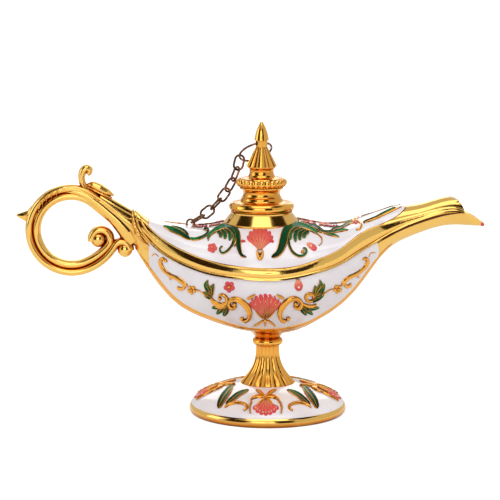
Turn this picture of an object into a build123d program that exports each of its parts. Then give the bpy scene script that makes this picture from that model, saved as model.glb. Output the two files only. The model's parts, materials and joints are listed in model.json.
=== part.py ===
from build123d import *
import math
import os

# Genie oil lamp with an enamelled body, in millimetres.
# The origin is the middle of the foot's underside, X runs towards the spout and Z runs up.

# Overall sizes of the body, measured from the axis of the foot.
spout_reach = 97.0
stern_reach = 59.5
beam = 32.2
keel_height = 36.5
shoulder_height = 86.5
wall = 1.6
enamel = 0.5
relief = 0.7

# Clearances, and the overrun of every cut.
gap = 0.3
slip = 0.1
overrun = 2.0

# Foot and stem.
foot_radius = 35.5
rim_height = 4.0
foot_dome_height = 13.2
foot_wall = 2.2
rim_bead = 1.0
pad_thickness = 1.0
stem_foot_radius = 12.4
stem_waist_radius = 5.2
stem_top = 30.4
flute_count = 18
knop_radius = 6.9
knop_height = 3.6
socket_radius = 11.5
socket_neck = 5.6
screw_radius = 2.0
screw_head_radius = 3.6
screw_head_height = 2.4
washer_radius = 5.0
washer_thickness = 1.0
boss_radius = 5.0
boss_height = 7.0

# Rim band of the cover, and the nose of the spout's cover.
band_proud = 0.9
lip_proud = 1.5
lip_half = 0.9
band_root = 0.5
nose_radius = 6.5
nose_reach = 87.4

# Mouth, collar and lid. The lid stands a little behind the foot's axis.
lid_offset = 2.8
mouth_radius = 12.0
collar_radius = 17.0
collar_top = 91.3
collar_rim_radius = 13.8
collar_lip = 0.6
collar_skirt = 4.0
flange_radius = 14.6
flange_height = 3.9
plug_depth = 3.0
plug_wall = 1.6
lid_cove_height = 2.0
drum_radius = 8.8
drum_height = 4.7
bead_ring_radius = 11.4
bead_ring_height = 4.1
bead_count = 24
bead_radius = 1.9
lid_neck_radius = 5.4
lid_neck_height = 5.2
cone_radius = 6.9
cone_top_radius = 2.6
cone_height = 8.6
cone_flutes = 12
spigot_radius = 1.3
spigot_length = 3.6
finial_neck_height = 3.1
finial_radius = 3.2
finial_height = 8.2
lid_screw_radius = 1.5
lid_screw_head = 2.8
lid_screw_head_height = 2.0
lid_screw_length = 22.0

# Handle.
handle_reach = 112.6
spur_height = 6.8
thumb_offset = 6.5
loop_offset = 88.0
loop_height = 82.6
loop_radius = 17.2
strand_spacing = 3.3
strand_half = 1.9
strand_depth = 3.2
loop_start = 50.0
loop_sweep = 240.0
shank_length = 21.0
outer_tail_radius = 24.5
outer_hook_radius = 3.7
outer_ball_radius = 3.4
inner_tail_radius = 26.0
inner_turn_radius = 4.6
inner_curl_radius = 4.2
inner_ball_radius = 3.5
spur_length = 7.5
spur_depth = 2.0
strap_depth = 4.0
thumb_height = 9.0
thumb_depth = 2.6
leaf_length = 13.0
leaf_depth = 3.5
rivet_radius = 1.2
rivet_head_radius = 2.0
rivet_head_height = 1.0
rivet_grip = 5.0
rivet_height_share = 0.935
keel_strip = 1.3
panel_inset = 0.3
panel_reach = 48.4
panel_bulge = 1.0
deck_reach = 61.5
deck_stern = 53.0

# Chain.
wire = 1.0
link_count = 7
link_width = 5.2
link_twist = 75.0
eye_wire = 0.9
eye_radius = 1.7
eye_rise = 0.8
eye_leg = 2.4
eye_offset = 34.6
ring_radius = 7.5
ring_wire = 0.95
ring_hole_radius = 1.05
ring_turn = 28.0
ring_droop = 38.0
ring_hang = 142.0
chain_sag_share = 0.12

# Stations along the body. Each row gives the place along the reach on its own side of the foot's
# axis, the half width as a share of the beam, and the heights of the keel, seam, band top and
# ridge as shares of the body's depth above the keel.
station_shares = [
    (-1.00, 0.10, 0.754, 0.920, 1.040, 1.110),
    (-0.90, 0.21, 0.562, 0.850, 0.984, 1.026),
    (-0.78, 0.40, 0.368, 0.746, 0.880, 0.984),
    (-0.62, 0.61, 0.202, 0.668, 0.794, 0.960),
    (-0.44, 0.79, 0.110, 0.612, 0.730, 0.962),
    (-0.22, 0.94, 0.034, 0.588, 0.692, 1.016),
    (0.00, 1.00, 0.000, 0.576, 0.680, 1.034),
    (0.12, 0.96, 0.022, 0.594, 0.694, 1.016),
    (0.23, 0.85, 0.112, 0.634, 0.750, 0.976),
    (0.33, 0.685, 0.234, 0.690, 0.826, 0.968),
    (0.42, 0.495, 0.410, 0.776, 0.940, 1.014),
    (0.51, 0.320, 0.648, 0.860, 1.000, 1.082),
    (0.62, 0.240, 0.832, 0.974, 1.060, 1.142),
    (0.74, 0.210, 0.926, 1.064, 1.116, 1.186),
    (0.86, 0.190, 0.972, 1.108, 1.150, 1.234),
    (0.93, 0.165, 0.966, 1.070, 1.100, 1.220),
    (0.97, 0.125, 0.962, 1.026, 1.050, 1.200),
    (1.00, 0.070, 0.960, 0.978, 1.000, 1.170),
]
spout_width_share = 0.19
round_share = 0.5523
panel_stations = (2, 11)
deck_stations = (2, 12)
shoulder_width_share = 0.90
shoulder_rise_share = 0.55
ridge_width_share = 0.50
foot_dome_shares = [(0.57, 0.80), (0.80, 0.46)]
stem_shares = [(0.23, 1.75), (0.43, 1.33), (0.69, 1.06)]
flute_depth_share = 0.08
cove_share = 0.293
drum_cove_share = 0.25
drum_shares = [(0.40, 0.76), 0.88]
lid_neck_shares = (0.80, 0.92)
finial_shares = [(0.72, 0.50), (0.10, 1.0)]
outer_turns = (40, -150)
inner_turns = (30, 40, 190)
outer_ball_share = 0.4
inner_ball_share = 0.3
leaf_start_share = 0.22
cone_flute_share = 0.12
# Strap and spur sections: the lower point, the upper point, and the depth, as shares.
strap_shares = [
    (1.709, -0.465, 1.725, 0.440, 0.85),
    (1.430, -0.209, 1.453, 0.605, 0.95),
    (1.076, 0.215, 1.145, 0.791, 0.95),
    (0.727, 0.506, 0.785, 0.988, 0.85),
]
spur_shares = [
    (0.0, -0.05, 0.02, 0.05, 0.12),
    (0.13, -0.13, 0.20, 0.12, 0.4),
    (0.54, -0.36, 0.70, 0.30, 0.8),
    (1.25, -0.62, 1.25, 0.62, 1.0),
]
socket_cove_share = 0.35
thumb_shares = [
    (-0.36, -0.15),
    (-0.31, 0.54),
    (-0.17, 0.80),
    (0.18, 0.99),
    (0.33, 0.69),
    (0.25, 0.24),
    (0.42, -0.20),
]
leaf_shares = [(-0.02, -0.10), (0.10, 0.15), (0.28, 0.21), (0.62, 0.06), (1.0, -0.24), (0.62, -0.34)]
# Raised ornament. A stroke is half its width as a share of the beam, and the points of its middle
# line; a disc is its radius and its middle. Each point is a place along the reach on its own side
# of the foot's axis, and then the height as a share of the body's depth (bowl), or the place
# towards the front as a share of the beam (cover).
bowl_shell_shares = [
    (-0.021, 0.210), (-0.115, 0.307), (-0.151, 0.382), (-0.123, 0.433), (-0.079, 0.459), (-0.022, 0.466),
    (0.021, 0.460), (0.048, 0.435), (0.066, 0.384), (0.042, 0.310),
]
bowl_stroke_shares = [
    (
        0.0348,
        [(-0.270, 0.322), (-0.287, 0.363), (-0.255, 0.400), (-0.200, 0.387), (-0.148, 0.316),
         (-0.138, 0.236), (-0.186, 0.184)],
    ),
    (
        0.0348,
        [(0.139, 0.327), (0.147, 0.369), (0.127, 0.406), (0.093, 0.397), (0.060, 0.327), (0.053, 0.241),
         (0.083, 0.189)],
    ),
    (0.0280, [(-0.417, 0.405), (-0.447, 0.488), (-0.439, 0.562)]),
    (0.0280, [(-0.288, 0.323), (-0.360, 0.312), (-0.418, 0.293)]),
    (0.0307, [(-0.288, 0.319), (-0.336, 0.275), (-0.357, 0.220)]),
    (0.0280, [(0.205, 0.376), (0.231, 0.467), (0.231, 0.570)]),
    (0.0307, [(0.136, 0.337), (0.166, 0.277), (0.186, 0.226)]),
    (0.0280, [(0.137, 0.341), (0.188, 0.305), (0.233, 0.296)]),
]
bowl_disc_shares = [
    (0.0587, [(-0.285, 0.510)]),
    (0.0447, [(-0.565, 0.450)]),
    (0.0419, [(0.316, 0.459)]),
]
cover_shell_shares = [
    (-0.056, 0.881), (-0.115, 0.818), (-0.153, 0.703), (-0.144, 0.591), (-0.107, 0.488), (-0.055, 0.466),
    (-0.004, 0.526), (0.019, 0.605), (0.023, 0.716), (0.001, 0.823),
]
cover_stroke_shares = [
    (
        0.0264,
        [(-0.160, 0.920), (-0.213, 0.829), (-0.228, 0.667), (-0.266, 0.419), (-0.331, 0.284),
         (-0.405, 0.372), (-0.441, 0.560)],
    ),
    (
        0.0307,
        [(0.016, 0.937), (0.057, 0.854), (0.075, 0.649), (0.099, 0.436), (0.139, 0.341), (0.189, 0.376),
         (0.224, 0.512)],
    ),
    (0.0196, [(-0.451, 0.300), (-0.465, 0.451), (-0.515, 0.508), (-0.580, 0.489)]),
    (0.0307, [(-0.575, 0.508), (-0.658, 0.359), (-0.785, 0.194)]),
    (0.0224, [(0.187, 0.321), (0.230, 0.329), (0.277, 0.458), (0.323, 0.537)]),
    (0.0196, [(0.246, 0.410), (0.304, 0.370), (0.366, 0.392)]),
]
cover_disc_shares = [
    (0.0531, [(-0.411, 0.704)]),
    (0.0447, [(0.194, 0.767)]),
]
body_depth = shoulder_height - keel_height

# Heights worked out from the stack of pieces.
socket_base = stem_top + knop_height
lid_base_bottom = collar_top + gap
drum_bottom = lid_base_bottom + flange_height + lid_cove_height
bead_ring_bottom = drum_bottom + drum_height
lid_neck_bottom = bead_ring_bottom + bead_ring_height
cone_bottom = lid_neck_bottom + lid_neck_height
finial_bottom = cone_bottom + cone_height
hole_height = finial_bottom + finial_neck_height - ring_hole_radius - gap


keel_line, seam_line, band_line, ridge_line = range(4)


def station(row):
    """Real sizes of one row of the station table."""
    place, width, keel, seam, band, ridge = row
    reach = spout_reach if place > 0 else stern_reach
    heights = [keel_height + share * body_depth for share in (keel, seam, band, ridge)]
    return place * reach, width * beam, heights


def height_at(x, column):
    """Height of the keel, seam, band top or ridge at x, between stations."""
    rows = [station(row) for row in station_shares]
    for (x0, _, low), (x1, _, high) in zip(rows, rows[1:]):
        if x <= x1:
            return low[column] + (high[column] - low[column]) * (x - x0) / (x1 - x0)
    return rows[-1][2][column]


def lamp_body(inset, first=0):
    """Bowl and cover as one solid, drawn in from the outside by inset."""
    with BuildPart() as body:
        for row in station_shares[first:]:
            x, width, (keel, seam, band, ridge) = station(row)
            local = inset * min(1.0, row[1] / spout_width_share)
            if row is station_shares[-1] and inset > 0:
                x += overrun
            half = width - local
            floor = keel + local
            roof = ridge - local
            with BuildSketch(Plane.YZ.offset(x)):
                with BuildLine():
                    drop = round_share * (seam - floor)
                    rise = shoulder_rise_share * (roof - band)
                    keel_half = half * round_share * math.sqrt(row[1])
                    Bezier((half, seam), (half, seam - drop), (keel_half, floor), (0, floor))
                    Bezier((0, floor), (-keel_half, floor), (-half, seam - drop), (-half, seam))
                    Line((-half, seam), (-half, band))
                    Bezier(
                        (-half, band),
                        (-half * shoulder_width_share, band + rise),
                        (-half * ridge_width_share, roof),
                        (0, roof),
                    )
                    Bezier(
                        (0, roof),
                        (half * ridge_width_share, roof),
                        (half * shoulder_width_share, band + rise),
                        (half, band),
                    )
                    Line((half, band), (half, seam))
                make_face()
        loft()
    return body.part


def rim_moulding(low_extra, high_extra, from_band, proud):
    """Convex moulding along both sides of the body, from under the seam to above it."""
    with BuildPart() as moulding:
        for row in station_shares[:-1]:
            x, width, (keel, seam, band, ridge) = station(row)
            root = width - min(band_root, width * spout_width_share)
            low = seam - low_extra
            high = (band if from_band else seam) + high_extra
            with BuildSketch(Plane.YZ.offset(x)):
                with BuildLine():
                    Line((-root, low), (root, low))
                    ThreePointArc((root, low), (width + proud, (low + high) / 2), (root, high))
                    Line((root, high), (-root, high))
                    ThreePointArc((-root, high), (-width - proud, (low + high) / 2), (-root, low))
                make_face()
        loft()
    return moulding.part


def side_outline(column, shift, first, last):
    """Points along the keel, seam, band top or ridge in the side view, shifted up."""
    rows = [station(row) for row in station_shares[first:last]]
    return [(x, heights[column] + shift) for x, _, heights in rows]


def below_seam(shift):
    """Everything under the seam, as a block that runs past both sides of the body."""
    points = side_outline(seam_line, shift, 0, len(station_shares))
    start = (-stern_reach - overrun, points[0][1])
    end = (spout_reach + 2 * overrun, points[-1][1])
    with BuildPart() as block:
        with BuildSketch(Plane.XZ):
            with BuildLine():
                Line(start, points[0])
                Spline(*points)
                Polyline(points[-1], end, (end[0], 0), (start[0], 0), start)
            make_face()
        extrude(amount=beam + overrun + lip_proud, both=True)
    return block.part


def turned(steps, centre=0.0):
    """Solid turned about a vertical axis at x = centre.

    A step is the next point (radius, height) of the outline, a pair (via, end) for an arc,
    or a list of points for a smooth curve.
    """
    with BuildPart() as piece:
        with BuildSketch(Plane(origin=(centre, 0, 0), z_dir=(0, -1, 0), x_dir=(1, 0, 0))):
            with BuildLine():
                last = steps[0]
                for step in steps[1:] + steps[:1]:
                    if isinstance(step, list):
                        Spline(last, *step)
                        last = step[-1]
                    elif isinstance(step[0], tuple):
                        ThreePointArc(last, *step)
                        last = step[1]
                    else:
                        Line(last, step)
                        last = step
            make_face()
        revolve(axis=Axis((centre, 0, 0), (0, 0, 1)))
    return piece.part


def post(radius, low, high, centre=0.0):
    """Upright cylinder between two heights."""
    with BuildPart() as piece:
        with BuildSketch(Plane(origin=(centre, 0, low))):
            Circle(radius)
        extrude(amount=high - low)
    return piece.part


def fluted(levels, count, depth_share, centre=0.0):
    """Fluted solid through scalloped sections; levels holds (height, radius) pairs."""
    with BuildPart() as piece:
        for height, radius in levels:
            with BuildSketch(Plane(origin=(centre, 0, height))):
                with BuildLine():
                    for index in range(count):
                        turns = [(index + part) * 2 * math.pi / count for part in (0, 0.5, 1)]
                        radii = (radius, radius * (1 - depth_share), radius)
                        ends = [(r * math.cos(a), r * math.sin(a)) for r, a in zip(radii, turns)]
                        ThreePointArc(*ends)
                make_face()
        loft()
    return piece.part


outer_body = lamp_body(0.0)
inner_body = lamp_body(wall, first=1)
enamel_body = lamp_body(-enamel)
seam_block = below_seam(0.0)

# Foot: a hollow turned casting with a round rim, and a bored hub for the screw.
bore = screw_radius + slip
dome_top = foot_dome_height - enamel
hub_underside = dome_top - foot_wall
rim_inside = foot_radius - rim_bead - foot_wall


def dome_curve(lift):
    """Points down the foot's dome from its hub to its rim, raised by lift."""
    rise = dome_top - rim_height
    points = [(foot_radius * r, rim_height + rise * z + lift) for r, z in foot_dome_shares]
    return [(stem_foot_radius, dome_top + lift), *points, (foot_radius - rim_bead, rim_height + lift)]


with BuildPart() as foot:
    dome = dome_curve(0)
    inside = dome_curve(-foot_wall)
    add(
        turned(
            [
                (bore, foot_dome_height),
                (stem_foot_radius, foot_dome_height),
                (stem_foot_radius, dome_top),
                dome[1:],
                ((foot_radius, rim_height / 2), (foot_radius - rim_bead, 0)),
                (rim_inside, 0),
                (rim_inside, rim_height - rim_bead),
                [inside[1], inside[0]],
                (bore, hub_underside),
            ]
        )
    )
foot.part.label = "foot"

# White enamel over the foot's dome, laid on the casting.
with BuildPart() as foot_enamel:
    dome = dome_curve(0)
    skin = dome_curve(enamel)
    add(turned([dome[0], dome[1:], skin[-1], skin[-2::-1]]))
foot_enamel.part.label = "foot_enamel"

# Pad that closes the hollow foot.
with BuildPart() as base_pad:
    add(post(rim_inside - slip, 0, pad_thickness))
base_pad.part.label = "base_pad"

# Stem: a fluted baluster that flares to the foot.
stem_rise = stem_top - foot_dome_height
with BuildPart() as stem:
    levels = [(foot_dome_height, stem_foot_radius)]
    for height_share, radius_share in stem_shares:
        levels.append((foot_dome_height + stem_rise * height_share, stem_waist_radius * radius_share))
    levels.append((stem_top, stem_waist_radius))
    add(fluted(levels, flute_count, flute_depth_share))
    add(post(bore, foot_dome_height, stem_top), mode=Mode.SUBTRACT)
stem.part.label = "stem"

# Knop: a round bead between the stem and the bowl's socket.
with BuildPart() as knop:
    add(
        turned(
            [
                (bore, stem_top),
                (stem_waist_radius, stem_top),
                ((knop_radius, stem_top + knop_height / 2), (stem_waist_radius, socket_base)),
                (bore, socket_base),
            ]
        )
    )
knop.part.label = "knop"

# Socket: a cove that spreads from the knop to the underside of the bowl.
boss_top = keel_height + wall / 2 + boss_height
socket_edge = keel_height + wall
socket_step = (socket_radius - socket_neck) * socket_cove_share
with BuildPart() as bowl_socket:
    add(
        turned(
            [
                (bore, socket_base),
                (socket_neck, socket_base),
                [(socket_neck + socket_step, keel_height), (socket_radius, socket_edge)],
                (socket_radius, boss_top),
                (bore, boss_top),
            ]
        )
    )
    add(outer_body, mode=Mode.SUBTRACT)
bowl_socket.part.label = "bowl_socket"

# Rivet that holds the handle to the stern, with its head inside the body.
rivet_height = keel_height + body_depth * rivet_height_share
inner_stern = station(station_shares[1])[0]
with BuildPart() as handle_rivet:
    with BuildSketch(Plane.YZ.offset(-stern_reach - rivet_grip)):
        with Locations((0, rivet_height)):
            Circle(rivet_radius)
    extrude(amount=inner_stern + stern_reach + rivet_grip)
    with BuildSketch(Plane.YZ.offset(inner_stern)):
        with Locations((0, rivet_height)):
            Circle(rivet_head_radius)
    extrude(amount=rivet_head_height)
handle_rivet.part.label = "handle_rivet"

# Bowl: the lower casting, open along the top of its spout, with a threaded boss for the screw.
with BuildPart() as bowl:
    add(outer_body)
    add(inner_body, mode=Mode.SUBTRACT)
    add(post(boss_radius, keel_height + wall / 2, boss_top))
    add(seam_block, mode=Mode.INTERSECT)
    add(post(screw_radius, keel_height - overrun, boss_top), mode=Mode.SUBTRACT)
    add(handle_rivet.part, mode=Mode.SUBTRACT)
bowl.part.label = "bowl"

# Screw that clamps the foot, stem, knop and socket to the bowl, and its washer.
washer_bottom = hub_underside - washer_thickness
with BuildPart() as foot_washer:
    add(post(washer_radius, washer_bottom, hub_underside))
    add(post(bore, washer_bottom, hub_underside), mode=Mode.SUBTRACT)
foot_washer.part.label = "foot_washer"
with BuildPart() as foot_screw:
    add(post(screw_head_radius, washer_bottom - screw_head_height, washer_bottom))
    add(post(screw_radius, washer_bottom, boss_top - wall))
foot_screw.part.label = "foot_screw"

# Cover: the upper casting, with its rim band, the lip under the band, and the mouth.
lid_axis = -lid_offset
nose_centre = (nose_reach - nose_radius, height_at(nose_reach - nose_radius, ridge_line) - nose_radius)
band_solid = rim_moulding(lip_half, band_root / 2, True, band_proud)
lip_solid = rim_moulding(lip_half, lip_half, False, lip_proud)
with BuildPart() as cover:
    add(outer_body)
    add(band_solid)
    add(lip_solid)
    add(inner_body, mode=Mode.SUBTRACT)
    add(seam_block, mode=Mode.SUBTRACT)
    with BuildSketch(Plane.XZ):
        with BuildLine():
            right = spout_reach + 2 * overrun
            top = nose_centre[1] + nose_radius + 2 * overrun
            bottom = keel_height
            CenterArc(nose_centre, nose_radius, 0, 90)
            Polyline(
                (nose_centre[0], nose_centre[1] + nose_radius),
                (nose_centre[0], top),
                (right, top),
                (right, bottom),
                (nose_reach, bottom),
                (nose_reach, nose_centre[1]),
            )
        make_face()
    extrude(amount=beam, both=True, mode=Mode.SUBTRACT)
    add(post(mouth_radius, keel_height, collar_top, lid_axis), mode=Mode.SUBTRACT)
    add(handle_rivet.part, mode=Mode.SUBTRACT)
cover.part.label = "cover"

# Collar: a sloping ring that seats on the cover round the mouth.
with BuildPart() as collar:
    add(
        turned(
            [
                (mouth_radius, shoulder_height - collar_skirt),
                (collar_radius, shoulder_height - collar_skirt),
                (collar_radius, shoulder_height),
                (collar_rim_radius, collar_top - collar_lip),
                (collar_rim_radius, collar_top),
                (mouth_radius, collar_top),
            ],
            lid_axis,
        )
    )
    add(outer_body, mode=Mode.SUBTRACT)
collar.part.label = "collar"


# White enamel: two panels on the bowl and one skin on the cover, laid on the castings.


def enamel_skin(outline, others):
    """Enamel of even thickness on the body, inside a side view outline, less other solids."""
    with BuildPart() as piece:
        add(enamel_body)
        with BuildSketch(Plane.XZ):
            with BuildLine():
                last = outline[0]
                for step in outline[1:] + outline[:1]:
                    if isinstance(step, list):
                        Spline(last, *step)
                        last = step[-1]
                    elif isinstance(step[0], tuple):
                        ThreePointArc(last, *step)
                        last = step[1]
                    else:
                        Line(last, step)
                        last = step
            make_face()
        extrude(amount=beam + overrun, both=True, mode=Mode.INTERSECT)
        add(outer_body, mode=Mode.SUBTRACT)
        for other in others:
            add(other, mode=Mode.SUBTRACT)
    return piece.part


panel_top = side_outline(seam_line, -panel_inset, *panel_stations)
panel_foot = side_outline(keel_line, keel_strip, *panel_stations)
panel_end_top = (panel_reach, height_at(panel_reach, seam_line) - panel_inset)
panel_heel = panel_reach - panel_bulge
panel_end_foot = (panel_heel, height_at(panel_heel, keel_line) + keel_strip)
panel_nose = (panel_reach + panel_bulge, (panel_end_top[1] + panel_end_foot[1]) / 2 + panel_bulge)
panel_stern_top = (-deck_stern, height_at(-deck_stern, seam_line) - panel_inset)
panel_stern_foot = (-deck_stern, height_at(-deck_stern, keel_line) + keel_strip)
with BuildPart() as bowl_enamel:
    add(
        enamel_skin(
            [
                panel_stern_top,
                [*panel_top, panel_end_top],
                (panel_nose, panel_end_foot),
                [*panel_foot[::-1], panel_stern_foot],
            ],
            [bowl_socket.part],
        )
    )
bowl_enamel.part.label = "bowl_enamel"

# Chain eye: a wire staple on the ridge of the cover, with legs down into the casting.
eye_ground = height_at(-eye_offset, ridge_line)
eye_bottom = eye_ground - eye_leg
eye_centre = (-eye_offset, eye_ground + enamel + eye_rise)
with BuildPart() as chain_eye:
    with BuildLine(Plane.XZ) as eye_line:
        Line((eye_centre[0] - eye_radius, eye_bottom), (eye_centre[0] - eye_radius, eye_centre[1]))
        CenterArc(eye_centre, eye_radius, 180, -180)
        Line((eye_centre[0] + eye_radius, eye_centre[1]), (eye_centre[0] + eye_radius, eye_bottom))
    with BuildSketch(Plane(origin=eye_line.line @ 0, z_dir=(0, 0, 1))):
        Circle(eye_wire / 2)
    sweep()
chain_eye.part.label = "chain_eye"
with BuildPart() as eye_holes:
    for side in (-1, 1):
        leg = -eye_offset + side * eye_radius
        add(post(eye_wire / 2 + slip, eye_bottom - overrun, eye_centre[1], leg))

deck_edge = side_outline(band_line, panel_inset, *deck_stations)
deck_top = height_at(deck_reach, ridge_line) + nose_radius + overrun
with BuildPart() as cover_enamel:
    add(
        enamel_skin(
            [
                (-deck_stern, height_at(-deck_stern, band_line) + panel_inset),
                [*deck_edge, (deck_reach, height_at(deck_reach, ridge_line))],
                (deck_reach, deck_top),
                (-deck_stern, deck_top),
            ],
            [band_solid, post(collar_radius + slip, keel_height, collar_top, lid_axis), eye_holes.part],
        )
    )
cover_enamel.part.label = "cover_enamel"
with BuildPart() as drilled_cover:
    add(cover.part)
    add(eye_holes.part, mode=Mode.SUBTRACT)
drilled_cover.part.label = "cover"

# Raised ornament: shells, scrolls and leaves cast on the bowl and the cover, front and back.
relief_body = lamp_body(-enamel - relief)


def along_reach(share):
    """Place along the body for a share of the reach on its own side."""
    return share * (spout_reach if share > 0 else stern_reach)


def on_drawing(shares, origin, rise):
    """Points on the drawing of an ornament for a table of shares."""
    return [(along_reach(x), origin + rise * other) for x, other in shares]


def stroke(half, points):
    """Leaf or scroll round a middle line: pointed at both ends, and half wide on each side."""
    points = [Vector(*point) for point in points]
    left = []
    right = []
    for before, point, after in zip(points, points[1:], points[2:]):
        run = (after - before).normalized()
        side = Vector(-run.Y, run.X) * half
        left.append(point + side)
        right.append(point - side)
    with BuildLine() as outline:
        Spline(points[0], *left, points[-1])
        Spline(points[-1], *reversed(right), points[0])
    return outline.line


def raised(plane, shell, strokes, discs, origin, rises, others):
    """Ornament that stands up from the enamel, drawn on a plane; rises size the second share."""
    with BuildPart() as piece:
        with BuildSketch(plane):
            for rise in rises:
                with BuildLine():
                    Polyline(*on_drawing(shell, origin, rise), close=True)
                make_face()
                for half, points in strokes:
                    make_face(stroke(beam * half, on_drawing(points, origin, rise)))
                for radius, points in discs:
                    with Locations(*on_drawing(points, origin, rise)):
                        Circle(beam * radius)
        extrude(amount=shoulder_height + spout_reach, both=True)
        add(relief_body, mode=Mode.INTERSECT)
        add(enamel_body, mode=Mode.SUBTRACT)
        for other in others:
            add(other, mode=Mode.SUBTRACT)
    return piece.part


with BuildPart() as bowl_ornament:
    add(
        raised(
            Plane.XZ,
            bowl_shell_shares,
            bowl_stroke_shares,
            bowl_disc_shares,
            keel_height,
            [body_depth],
            [lip_solid],
        )
    )
bowl_ornament.part.label = "bowl_ornament"
with BuildPart() as cover_ornament:
    add(
        raised(
            Plane.XY,
            cover_shell_shares,
            cover_stroke_shares,
            cover_disc_shares,
            0,
            [-beam, beam],
            [seam_block, band_solid, collar.part],
        )
    )
cover_ornament.part.label = "cover_ornament"

# Lid: a flanged base with a plug, a drum, a beaded ring, a neck, a fluted cone and a finial.
lid_bore = lid_screw_radius + slip
web = lid_base_bottom + flange_height / 2
plug_radius = mouth_radius - gap
cove_radius = drum_radius + lid_screw_radius * drum_cove_share
cone_grip = web + lid_screw_length
base_cove = lid_cove_height * cove_share
neck_cove = lid_neck_height / 2
with BuildPart() as lid_base:
    add(
        turned(
            [
                (lid_bore, web),
                (plug_radius - plug_wall, web),
                (plug_radius - plug_wall, lid_base_bottom - plug_depth),
                (plug_radius, lid_base_bottom - plug_depth),
                (plug_radius, lid_base_bottom),
                (collar_rim_radius, lid_base_bottom),
                ((flange_radius, web), (collar_rim_radius - collar_lip, lid_base_bottom + flange_height)),
                (cove_radius + lid_cove_height, lid_base_bottom + flange_height),
                (
                    (cove_radius + base_cove, lid_base_bottom + flange_height + base_cove),
                    (cove_radius, drum_bottom),
                ),
                (lid_bore, drum_bottom),
            ],
            lid_axis,
        )
    )
lid_base.part.label = "lid_base"
drum_waist, drum_lip = [drum_bottom + drum_height * share for share in drum_shares[0]]
drum_step = drum_bottom + drum_height * drum_shares[1]
with BuildPart() as lid_drum:
    add(
        turned(
            [
                (lid_bore, drum_bottom),
                (cove_radius, drum_bottom),
                ((drum_radius - collar_lip, drum_waist), (drum_radius, drum_lip)),
                (cove_radius + collar_lip, drum_step),
                (cove_radius + collar_lip, bead_ring_bottom),
                (lid_bore, bead_ring_bottom),
            ],
            lid_axis,
        )
    )
lid_drum.part.label = "lid_drum"
bead_seat = bead_ring_radius - bead_radius
with BuildPart() as bead_ring:
    add(
        turned(
            [
                (lid_bore, bead_ring_bottom),
                (bead_seat, bead_ring_bottom),
                (
                    (bead_seat + bead_radius / 2, bead_ring_bottom + bead_ring_height / 2),
                    (bead_seat, lid_neck_bottom),
                ),
                (lid_bore, lid_neck_bottom),
            ],
            lid_axis,
        )
    )
    with Locations(Plane(origin=(lid_axis, 0, bead_ring_bottom + bead_ring_height / 2))):
        with PolarLocations(bead_seat, bead_count):
            Sphere(bead_radius)
bead_ring.part.label = "bead_ring"
neck_lip, neck_step = [lid_neck_bottom + lid_neck_height * share for share in lid_neck_shares]
with BuildPart() as lid_neck:
    add(
        turned(
            [
                (lid_bore, lid_neck_bottom),
                (lid_neck_radius + neck_cove, lid_neck_bottom),
                (
                    (lid_neck_radius + neck_cove * cove_share, lid_neck_bottom + neck_cove * cove_share),
                    (lid_neck_radius, lid_neck_bottom + neck_cove),
                ),
                ((lid_neck_radius + collar_lip / 2, neck_lip), (cone_radius - collar_lip, neck_step)),
                (cone_radius - collar_lip, cone_bottom),
                (lid_bore, cone_bottom),
            ],
            lid_axis,
        )
    )
lid_neck.part.label = "lid_neck"
with BuildPart() as fluted_cone:
    levels = [(cone_bottom, cone_radius), (finial_bottom, cone_top_radius)]
    add(fluted(levels, cone_flutes, cone_flute_share, lid_axis))
    add(post(lid_screw_radius, cone_bottom, cone_grip, lid_axis), mode=Mode.SUBTRACT)
    add(post(spigot_radius, finial_bottom - spigot_length, finial_bottom, lid_axis), mode=Mode.SUBTRACT)
fluted_cone.part.label = "fluted_cone"

hole_centre = Vector(lid_axis, 0, hole_height)
hole_axis = Vector(math.cos(math.radians(ring_turn)), math.sin(math.radians(ring_turn)), 0)
finial_tip_base = finial_bottom + finial_neck_height
finial_curve = [(finial_radius * r, finial_tip_base + finial_height * z) for r, z in finial_shares]
with BuildPart() as finial:
    add(
        turned(
            [
                (0, finial_bottom - spigot_length),
                (spigot_radius, finial_bottom - spigot_length),
                (spigot_radius, finial_bottom),
                (cone_top_radius, finial_bottom),
                (cone_top_radius, finial_tip_base),
                (finial_radius, finial_tip_base),
                tuple(finial_curve),
                (0, finial_tip_base + finial_height),
            ],
            lid_axis,
        )
    )
    with BuildSketch(Plane(origin=hole_centre, z_dir=hole_axis)):
        Circle(ring_hole_radius)
    extrude(amount=finial_radius + overrun, both=True, mode=Mode.SUBTRACT)
finial.part.label = "finial"
with BuildPart() as lid_screw:
    add(post(lid_screw_head, web - lid_screw_head_height, web, lid_axis))
    add(post(lid_screw_radius, web, cone_grip - slip, lid_axis))
lid_screw.part.label = "lid_screw"

# Handle: two strands side by side round a finger loop, each with a scroll at its end, a strap
# that spreads from the loop to the stern, and a spur at the back.
loop_centre = (-loop_offset, loop_height)


def placed(shares, base, size):
    """Points in the side view for a table of shares."""
    return [(base[0] + size * x, base[1] + size * z) for x, z in shares]


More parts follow.
